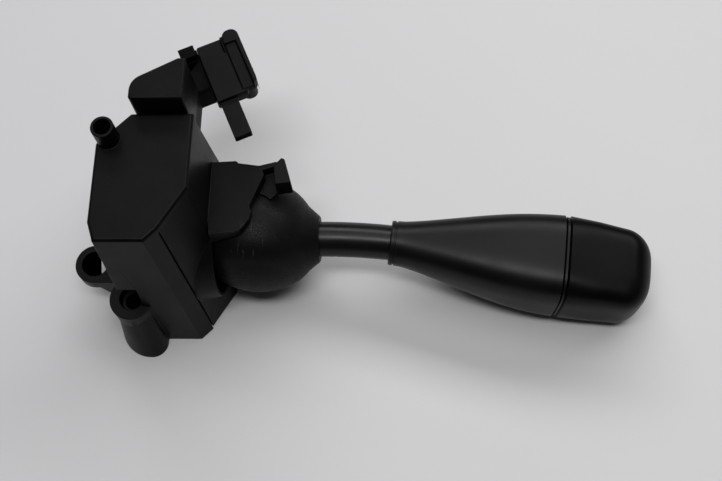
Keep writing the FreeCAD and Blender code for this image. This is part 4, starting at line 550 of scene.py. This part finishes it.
# End cap: hollow black moulding with a rounded tip. Its square spigot plugs into the grip and so hides
# the screw.
CAP_START, CAP_STRAIGHT, CAP_ROUND = RING_AT + RING_WIDTH + 0.00005, 0.0146, 0.0067
CAP_DROPS, CAP_STEPS, TIP_STEPS = (0.0003, 0.0019, 0.0010, 0.0014), 12, 17
PLUG, PLUG_BORE, PLUG_LENGTH, BORE_DEPTH = 0.00655, 0.0052, 0.004, 0.011
CAP_POWER, MOST_SQUARE = 3.7, 4.6


def cap_sides(share, shrink=1.0, less=0.0):
    """The cap's four half sizes: they draw in towards the tip by a share of their drops."""
    return tuple((side - drop * share) * shrink - less for side, drop in
                 zip((NEAR, FAR, TOP, UNDER), CAP_DROPS))


cap = bmesh.new()
loop = soft_square(cap, CAP_START + BORE_DEPTH, evenly(PLUG_BORE), SQUARE)
bmesh.ops.holes_fill(cap, edges=loop)
for x, size in ((CAP_START - PLUG_LENGTH, PLUG_BORE), (CAP_START - PLUG_LENGTH, PLUG), (CAP_START, PLUG)):
    loop = soft_square(cap, x, evenly(size), SQUARE, loop)
loop = soft_square(cap, CAP_START, cap_sides(0.0, less=0.0004), CAP_POWER, loop)
for step in range(CAP_STEPS + 1):
    share = step / CAP_STEPS
    x = CAP_START + max(CAP_STRAIGHT * share, 0.0003)
    power = CAP_POWER + (MOST_SQUARE - CAP_POWER) * min(1.0, share * 2)
    loop = soft_square(cap, x, cap_sides(share), power, loop)
for step in range(1, TIP_STEPS + 1):
    angle = math.radians(88.0) * step / TIP_STEPS
    x = CAP_START + CAP_STRAIGHT + CAP_ROUND * math.sin(angle)
    sides = cap_sides(1.0 + 0.5 * math.sin(angle), math.cos(angle) ** 0.7)
    loop = soft_square(cap, x, sides, MOST_SQUARE - 1.2 * step / TIP_STEPS, loop)
bmesh.ops.holes_fill(cap, edges=loop)
close_loop(cap)
cap_black = black_plastic(
    "cap_black", dark=(0.0014, 0.0014, 0.0015), light=(0.0026, 0.0026, 0.0027), worn=(0.03, 0.03, 0.031),
    roughness=0.36, shine=0.09, grain_size=0.0003, depth=0.000010, wear_amount=0.2, mark_amount=0.05)
as_piece(cap, "tip_cap", cap_black, "lever", ("end_cap",))


# Contact board, its tracks and bridges, and the leads: glass laminate behind the sliders, with tracks,
# bridges, lead strips and blades stamped from brass.
laminate = bpy.data.materials.new("glass_laminate")
laminate.use_nodes = True
laminate_tree = laminate.node_tree
laminate_place = add(laminate_tree, "ShaderNodeTexCoord").outputs["Object"]
laminate_weave = laminate_tree.nodes.new("ShaderNodeTexChecker")
feed(laminate_tree, laminate_weave, {"Vector": laminate_place, "Scale": 2500.0})
laminate_cloud = add(laminate_tree, "ShaderNodeTexNoise", Vector=laminate_place, Scale=300.0, Detail=4.0)
laminate_base = blend_colours(laminate_tree, laminate_cloud.outputs["Fac"], (0.055, 0.16, 0.07, 1.0),
                              (0.09, 0.22, 0.10, 1.0))
laminate_tint = blend_colours(laminate_tree, laminate_weave.outputs["Fac"], laminate_base,
                              (0.07, 0.19, 0.085, 1.0))
laminate_relief = add(laminate_tree, "ShaderNodeBump", Distance=0.000008,
                      Height=laminate_weave.outputs["Fac"])
feed(laminate_tree, laminate_tree.nodes["Principled BSDF"],
     {"Base Color": laminate_tint, "Roughness": 0.33, "Normal": laminate_relief.outputs["Normal"]})
dress(["contact_board"], laminate)
stamped_brass = plated("stamped_brass", tint=(0.78, 0.58, 0.27), stain=(0.60, 0.42, 0.20), roughness=0.30,
                       brush=(500.0, 3000.0, 3000.0))
dress(["contact_tracks", "reach_contact", "tilt_contact", "lead_strips", "terminal_blades"], stamped_brass)


# Connector arm and lid: black nylon channel behind the case that brings the leads to the connector, closed
# by a flat lid with a raised tab.
arm_black = black_plastic(
    "arm_black", dark=(0.0014, 0.0015, 0.0015), light=(0.0026, 0.0027, 0.0027), worn=(0.02, 0.02, 0.021),
    roughness=0.48, shine=0.04, grain_size=0.00025, depth=0.00003, wear_amount=0.4, mark_amount=0.1)
moulded_copy("connector_arm", "arm_channel", arm_black, "case", edge=0.0002)
moulded_copy("arm_lid", "arm_cover", arm_black, "case", edge=0.0002)


# Connector: black nylon body at the end of the arm, with an end flange round the socket and a flat tongue.
# The edges are a little softer than the case's.
connector_black = black_plastic(
    "connector_black", dark=(0.0019, 0.0020, 0.0020), light=(0.0036, 0.0037, 0.0038),
    worn=(0.04, 0.04, 0.041), roughness=0.40, shine=0.10, grain_size=0.00025, depth=0.00003,
    wear_amount=0.5, mark_amount=0.15)
moulded_copy("connector_housing", "connector_body", connector_black, "case", edge=0.00025)


# Raised cover: hollow black nylon hood over the leads, behind the top plate. The mould leaves its edges
# softer than the rest of the case.
hood_black = black_plastic(
    "hood_black", dark=(0.0018, 0.0018, 0.0020), light=(0.0032, 0.0032, 0.0034), worn=(0.030, 0.030, 0.031),
    roughness=0.40, shine=0.10, grain_size=0.00022, depth=0.00003, wear_amount=0.4, mark_amount=0.08)
moulded_copy("terminal_cover", "lead_hood", hood_black, "case", edge=0.0005)
